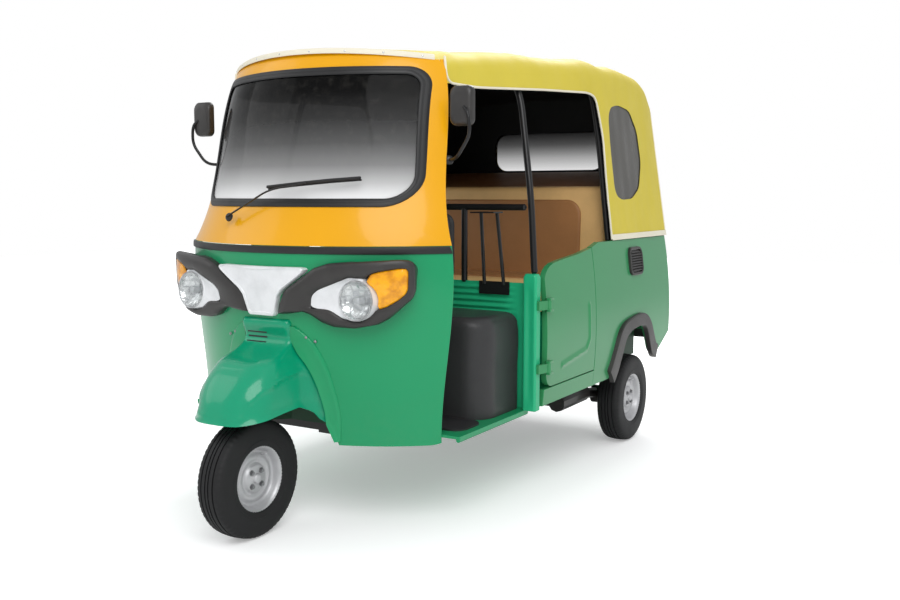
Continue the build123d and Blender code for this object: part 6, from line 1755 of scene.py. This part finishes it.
def tail_lamp_shapes():
    """Tail lenses: rounded rectangle rings doming off the back panel."""
    loops = []
    for depth, share in ((0.0005, 1.0), (0.010, 1.0), (0.013, 0.97), (0.0145, 0.9)):
        loop = rectangle(0.045, 0.115, 0.018, 8, 10) * share
        z = loop[:, 1] + 0.675
        loops.append(np.column_stack([loop[:, 0] + 0.540, TAIL - 0.044 * (z - TAIL_LOW) + depth, z]))
    return flip(block(*loops))


def bumper_shapes():
    """Rear bumper: a rolled channel section carried across, its ends bent round."""
    x = np.concatenate([[-0.600], np.linspace(-0.598, 0.598, 40), [0.600]])
    share = np.where(np.abs(x) > 0.599, 0.6, 1.0)
    grid = [np.column_stack([x, TAIL + depth * share, z + 0 * x]) for depth, z in BUMPER_SECTION]
    return carried(grid)


def body_bolts():
    """Bolts on the mudguard flange, the door pillars and the back panel."""
    shapes = []
    for x, z in ((0.158, 0.676), (0.190, 0.664)):
        normal = (x / COWL(z)[1], -1.0, 0.05)
        shapes += flip(dome_head(on_shell(COWL, x, z, 0.0045), normal, 0.0055, 0.004))
    for z in np.ravel([(level - 0.012, level + 0.012) for level in HINGE_LEVELS]):
        shapes += flip(dome_head((0.6562, 0.864, z), (1, 0, 0), 0.006, 0.003))
    for x in (0.07, 0.30, 0.50):
        shapes += flip(dome_head((x, 2.3655, 0.461), (0, 1, 0), 0.009, 0.004))
    return shapes


# ------------------------------------------------------------------ settings and operators


class RickshawColours(bpy.types.PropertyGroup):
    cab: FloatVectorProperty(
        name="Cab", description="Paint of the windscreen surround", subtype="COLOR", size=3,
        default=linear(230, 164, 4)[:3],
    )
    body: FloatVectorProperty(
        name="Body", description="Paint of the sides, door and tail", subtype="COLOR", size=3,
        default=linear(56, 142, 90)[:3],
    )
    hood: FloatVectorProperty(
        name="Hood", description="Colour of the hood canvas", subtype="COLOR", size=3,
        default=linear(212, 194, 72)[:3],
    )


class RickshawHood(bpy.types.PropertyGroup):
    sag: FloatProperty(name="Sag", description="Dip between two hoops", unit="LENGTH", default=0.010)
    crease: FloatProperty(name="Crease", description="Depth of the ripples", unit="LENGTH", default=0.0012)


class RickshawSeats(bpy.types.PropertyGroup):
    crown: FloatProperty(name="Crown", description="Rise of a pad's middle", unit="LENGTH", default=0.016)
    fill: FloatProperty(name="Fill", description="How full the pads are", min=0.0, max=1.0, default=0.8)


class RickshawWheels(bpy.types.PropertyGroup):
    tread: FloatProperty(name="Tread", description="Depth of the tyre grooves", unit="LENGTH", default=0.0045)


class RICKSHAW_OT_nose(bpy.types.Operator):
    """Builds the nose skin, windscreen surround, seal, glass and belt strip"""

    bl_idname = "rickshaw.nose"
    bl_label = "Nose and windscreen"

    def execute(self, context):
        piece("nose_skin", cowl_shapes(), "guard_paint", "body", "green_paint", ["front_panel"], bevel=0.0012)
        surround, node = surround_shapes(), "windscreen_surround"
        piece("windscreen_frame", surround, "cab_paint", "body", "yellow_paint", [node], bevel=0.001)
        piece("windscreen_rubber", seal_shapes(), "seal_rubber", "body", "black_rubber", ["windscreen_seal"])
        pane = pane_shapes(screen_loop(0.0235), -0.0035, -0.0075)
        piece("windscreen_pane", pane, "screen_glass", "body", "clear_glass", ["windscreen_glass"])
        piece("belt_moulding", belt_shapes(), "seal_rubber", "body", "black_rubber", ["belt_strip"])
        return {"FINISHED"}


class RICKSHAW_OT_lamps(bpy.types.Operator):
    """Builds the headlamps with their bezels, the indicators, the centre panel and the tail lamps"""

    bl_idname = "rickshaw.lamps"
    bl_label = "Lamps"

    def execute(self, context):
        piece("lamp_surrounds", bezel_shapes(), "black_plastic", "body", "dark_plastic", ["lamp_bezel"])
        silver = ("silver_paint", "body", "silver_plastic")
        piece("lamp_shells", housing_shapes(), *silver, ["headlamp_housings"])
        piece("centre_badge_plate", centre_shapes(), *silver, ["lamp_centre_panel"])
        piece("turn_lenses", indicator_shapes(), "amber_lens", "body", "amber_lens", ["indicators"])
        piece("lamp_reflectors", flip(lamp_disc(BOWL)), "reflector", "body", "silver_plastic")
        piece("lamp_bulbs", flip(lamp_disc(BULB)), *silver)
        domes = flip(dome_shapes())
        piece("headlamp_glasses", domes, "lamp_cover", "body", "lamp_glass", ["headlamp_lenses"])
        piece("tail_lenses", tail_lamp_shapes(), "red_lens", "body", "red_lens", ["tail_lamps"])
        return {"FINISHED"}


class RICKSHAW_OT_mudguard(bpy.types.Operator):
    """Builds the front mudguard, its flange and the bolts"""

    bl_idname = "rickshaw.mudguard"
    bl_label = "Front mudguard"

    def execute(self, context):
        green = "green_paint"
        piece("mudguard_bell", guard_shapes(), "bell_paint", "body", green, ["front_mudguard"], bevel=0.001)
        piece("mudguard_strips", flange_shapes(), "guard_paint", "body", green, sharp=50)
        piece("mudguard_slots", vent_shapes(), "seal_rubber", "body", "black_rubber")
        piece("bolts", body_bolts(), "bolt_steel", "body", "cast_metal", sharp=28)
        return {"FINISHED"}


class RICKSHAW_OT_wheels(bpy.types.Operator):
    """Builds the three tyres, rims and their nuts"""

    bl_idname = "rickshaw.wheels"
    bl_label = "Wheels"

    def execute(self, context):
        depth = context.scene.rickshaw_wheels.tread
        for name, body, x, back, outward in WHEELS:
            tyre = tyre_shapes(x, back, outward, depth)
            piece(name + "_cover", tyre, "tyre_rubber", body, "tyre", [name + "_tyre"], sharp=40)
            disc = rim_shapes(x, back, outward)
            piece(name + "_disc", disc, "rim_paint", body, "rim", [name + "_rim"], sharp=50)
            piece(name + "_nuts", nut_shapes(x, back, outward), "bolt_steel", body, "black_steel", sharp=28)
        return {"FINISHED"}


class RICKSHAW_OT_hood(bpy.types.Operator):
    """Builds the canvas hood with its lining, piping, windows and frame"""

    bl_idname = "rickshaw.hood"
    bl_label = "Hood"

    def execute(self, context):
        tubes = piece("hood_hoops", frame_tubes(), "black_paint", "body", "black_steel", ["hood_frame"])
        cloth = piece("hood_cover", hood_shapes(), "hood_canvas", "body", "hood_canvas", ["hood"], sharp=50)
        piece("hood_lining", hood_shapes(0.008), "lining", "body", "hood_canvas", sharp=50)
        trim = piece("hood_piping", hood_piping(), "hem_tape", "body", "hood_canvas")
        hem = piece("hood_hem", hood_hem(), "hem_tape", "body", "hood_canvas")
        tape = piece("header_tape", header_tape(), "hem_tape", "body", "hood_canvas")
        piece("header_studs", header_studs(), "chrome", "body", "silver_plastic")
        piece("hood_panes", flip(side_window_pane()), "side_film", "body", "window_film", ["hood_windows"])
        piece("rear_pane", rear_window_pane(), "rear_film", "body", "window_film")
        return {"FINISHED"}


class RICKSHAW_OT_sides(bpy.types.Operator):
    """Builds the body sides, passenger door, arch trims and vents"""

    bl_idname = "rickshaw.sides"
    bl_label = "Body sides"

    def execute(self, context):
        green, door = "green_paint", "passenger_door"
        for side in ("left", "right"):
            quarter = side_shapes(side == "left")
            node = "side_panel_" + side
            piece("quarter_" + side, quarter, "body_paint", "body", green, [node], bevel=0.002)
        piece("door_skin", door_shapes(), "body_paint", door, green, [door], bevel=0.002)
        piece("door_lugs", door_lugs(), "body_paint", door, green)
        piece("floor_plate", floor_shapes(), "guard_paint", "body", green, ["floor_pan"], bevel=0.001)
        piece("door_posts", partition_shapes(), "inner_paint", "body", green, ["partition"], bevel=0.001)
        piece("arch_bands", arch_trim_shapes(), "black_plastic", "body", "dark_plastic", ["arch_trims"])
        piece("louvres", louvre_shapes(), "black_plastic", "body", "dark_plastic", ["side_vents"], sharp=35)
        piece("bumper_bar", bumper_shapes(), "black_plastic", "body", "dark_plastic", ["rear_bumper"])
        return {"FINISHED"}


class RICKSHAW_OT_seats(bpy.types.Operator):
    """Builds the driver's seat and the passenger bench as stuffed pads with piping"""

    bl_idname = "rickshaw.seats"
    bl_label = "Seats"

    def execute(self, context):
        crown, fill = context.scene.rickshaw_seats.crown, context.scene.rickshaw_seats.fill
        cushion = laid(pad((0.598, 0.168), 0.132, 0.030, 0.026, crown * 0.7), BENCH)
        panel = laid(pad((0.470, 0.125), 0.020, 0.060, 0.010, 0.006), np.add(BENCH, (0, 0, 0.122)))
        back = upright(pad((0.590, 0.262), 0.096, 0.040, 0.028, crown), BACKREST, BACK_LEAN)
        back_panel = pad((0.470, 0.205), 0.020, 0.070, 0.012, 0.006)
        back_panel = upright(back_panel, np.subtract(BACKREST, (0, 0.090, 0)), BACK_LEAN)
        rest = pad((0.283, 0.133), 0.036, 0.045, 0.018, crown * 0.5, (-0.095, 0.095))
        rest = upright(rest, DRIVER_REST, 0.0)
        box = driver_box()
        pads = (
            piece("bench_cushion", cushion, "seat_beige", "body", "brown_vinyl", ["passenger_cushion"]),
            piece("bench_panel", panel, "seat_brown", "body", "brown_vinyl"),
            piece("bench_back", back, "seat_beige", "body", "brown_vinyl", ["passenger_backrest"]),
            piece("bench_back_panel", back_panel, "seat_brown", "body", "brown_vinyl"),
            piece("driver_seat_box", box, "seat_black", "body", "black_vinyl", ["driver_seat"], sharp=50),
            piece("driver_back_pad", rest, "seat_black", "body", "black_vinyl", ["driver_backrest"]),
        )
        cords = [
            laid(welt((0.590, 0.160), 0.028, 0.116), BENCH),
            upright(welt((0.581, 0.253), 0.036, 0.080), BACKREST, BACK_LEAN),
        ]
        piece("bench_piping", cords, "shelf_brown", "body", "brown_vinyl")
        return {"FINISHED"}


class RICKSHAW_OT_fittings(bpy.types.Operator):
    """Builds the mirrors, wiper, handlebar, grips and guard rail"""

    bl_idname = "rickshaw.fittings"
    bl_label = "Fittings"

    def execute(self, context):
        piece("mirror_shells", mirror_shapes(), "black_plastic", "body", "dark_plastic", ["mirror_heads"])
        piece("mirror_panes", mirror_panes(), "mirror_glass", "body", "clear_glass")
        piece("mirror_stalks", arm_shapes(), "black_paint", "body", "black_steel", ["mirror_arms"])
        piece("wiper_arm", wiper_shapes(), "seal_rubber", "body", "black_steel", ["wiper"])
        piece("steering_bar", bar_shapes(), "black_paint", "steering", "black_steel", ["handlebar"])
        piece("bar_grips", grip_shapes(), "seal_rubber", "steering", "black_rubber", ["handlebar_grips"])
        piece("seat_rail", rail_shapes(), "black_paint", "body", "black_steel", ["guard_rail"])
        return {"FINISHED"}


class RICKSHAW_OT_finishes(bpy.types.Operator):
    """Makes the finishes and gives them to the parts that are shown as they were drawn"""

    bl_idname = "rickshaw.finishes"
    bl_label = "Finishes"

    def execute(self, context):
        FINISHES.update(make_finishes())
        for finish, names in NODE_FINISH.items():
            for name in names:
                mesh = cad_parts[name].data
                mesh.materials.clear()
                mesh.materials.append(FINISHES[finish])
        return {"FINISHED"}


CAMERA_PLACE = (2.24980, -3.51130, 1.15084)
CAMERA_TURN = (83.906, 0.0, 30.992)
CAMERA_LENS = 39.33
FLOOR_REACH = 14.0
# place, size, power, aimed at
LIGHTS = (
    ((3.2, -4.2, 4.6), 4.0, 165.0, (0.0, -0.2, 0.7)),
    ((-4.5, -3.0, 3.6), 4.0, 40.0, (0.0, 0.0, 0.8)),
    ((-0.8, 4.4, 5.4), 3.0, 210.0, (0.0, 0.3, 0.8)),
)


class RICKSHAW_OT_stage(bpy.types.Operator):
    """Builds the floor, lights, surroundings and camera"""

    bl_idname = "rickshaw.stage"
    bl_label = "Stage"

    def execute(self, context):
        scene = context.scene
        world = bpy.data.worlds.new("surroundings")
        scene.world = world
        world.use_nodes = True
        nodes, links = world.node_tree.nodes, world.node_tree.links
        nodes.clear()
        seen, plain = nodes.new("ShaderNodeBackground"), nodes.new("ShaderNodeBackground")
        seen.inputs["Color"].default_value = (1.0, 1.0, 1.0, 1.0)
        plain.inputs["Color"].default_value = (0.97, 0.985, 1.0, 1.0)
        plain.inputs["Strength"].default_value = 0.70
        mix, rays = nodes.new("ShaderNodeMixShader"), nodes.new("ShaderNodeLightPath")
        output = nodes.new("ShaderNodeOutputWorld")
        links.new(rays.outputs["Is Camera Ray"], mix.inputs[0])
        links.new(plain.outputs[0], mix.inputs[1])
        links.new(seen.outputs[0], mix.inputs[2])
        links.new(mix.outputs[0], output.inputs[0])
        ground = bpy.data.meshes.new("floor")
        far = FLOOR_REACH
        corners = [(-far, -far, 0), (far, -far, 0), (far, far, 0), (-far, far, 0)]
        ground.from_pydata(corners, [], [(0, 1, 2, 3)])
        floor = bpy.data.objects.new("floor", ground)
        scene.collection.objects.link(floor)
        finish = Finish("floor", Roughness=0.9, Specular_IOR_Level=0.1, Emission_Strength=1.0)
        mottle = finish.noise(0.8, 3.0)
        seen_directly = finish.node("ShaderNodeLightPath", output="Is Camera Ray")
        across, along = finish.axis("X"), finish.axis("Y")
        # seen from the camera the floor glows least near the vehicle and fully further out: a painted shadow
        # round the vehicle, and an evenly white floor far away
        away = finish.ramp((across * across + along * along) * 0.02, (0.06, 0.0), (0.5, 1.0))
        finish.set(
            Base_Color=finish.blend(mottle, linear(246, 246, 246), linear(250, 250, 250)),
            Emission_Color=seen_directly * (away * 0.7 + 0.3),
        )
        ground.materials.append(finish.material)
        for number, (place, size, power, aim) in enumerate(LIGHTS):
            lamp = bpy.data.lights.new("light_%d" % number, "AREA")
            lamp.shape = "DISK"
            lamp.size = size
            lamp.energy = power
            made = bpy.data.objects.new(lamp.name, lamp)
            scene.collection.objects.link(made)
            made.location = place
            along = np.array(place) - np.array(aim)
            flat = math.hypot(along[0], along[1])
            made.rotation_euler = (math.atan2(flat, along[2]), 0.0, math.atan2(along[0], -along[1]))
        camera = bpy.data.objects.new("camera", bpy.data.cameras.new("camera"))
        scene.collection.objects.link(camera)
        camera.location = CAMERA_PLACE
        camera.rotation_euler = [math.radians(angle) for angle in CAMERA_TURN]
        camera.data.lens = CAMERA_LENS
        camera.data.sensor_width = 36.0
        scene.camera = camera
        scene.view_settings.view_transform = "Standard"
        return {"FINISHED"}


OPERATORS = (
    RICKSHAW_OT_finishes, RICKSHAW_OT_nose, RICKSHAW_OT_lamps, RICKSHAW_OT_mudguard, RICKSHAW_OT_wheels,
    RICKSHAW_OT_hood, RICKSHAW_OT_sides, RICKSHAW_OT_seats, RICKSHAW_OT_fittings, RICKSHAW_OT_stage,
)
GROUPS = {
    "rickshaw_colours": RickshawColours,
    "rickshaw_hood": RickshawHood,
    "rickshaw_seats": RickshawSeats,
    "rickshaw_wheels": RickshawWheels,
}


class RICKSHAW_PT_panel(bpy.types.Panel):
    """Settings and building steps of the rickshaw"""

    bl_label = "Auto rickshaw"
    bl_idname = "RICKSHAW_PT_panel"
    bl_space_type = "VIEW_3D"
    bl_region_type = "UI"
    bl_category = "Rickshaw"

    def draw(self, context):
        for name, group in GROUPS.items():
            for field in group.__annotations__:
                self.layout.prop(getattr(context.scene, name), field)
        for operator in OPERATORS:
            self.layout.operator(operator.bl_idname)


def register():
    for kind in (*GROUPS.values(), *OPERATORS, RICKSHAW_PT_panel):
        bpy.utils.register_class(kind)
    for name, group in GROUPS.items():
        setattr(bpy.types.Scene, name, PointerProperty(type=group))


def unregister():
    for name in GROUPS:
        delattr(bpy.types.Scene, name)
    for kind in reversed((*GROUPS.values(), *OPERATORS, RICKSHAW_PT_panel)):
        bpy.utils.unregister_class(kind)


def main():
    """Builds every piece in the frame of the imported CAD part."""
    register()
    for operator in OPERATORS:
        family, name = operator.bl_idname.split(".")
        getattr(getattr(bpy.ops, family), name)()


if __name__ == "__main__":
    main()
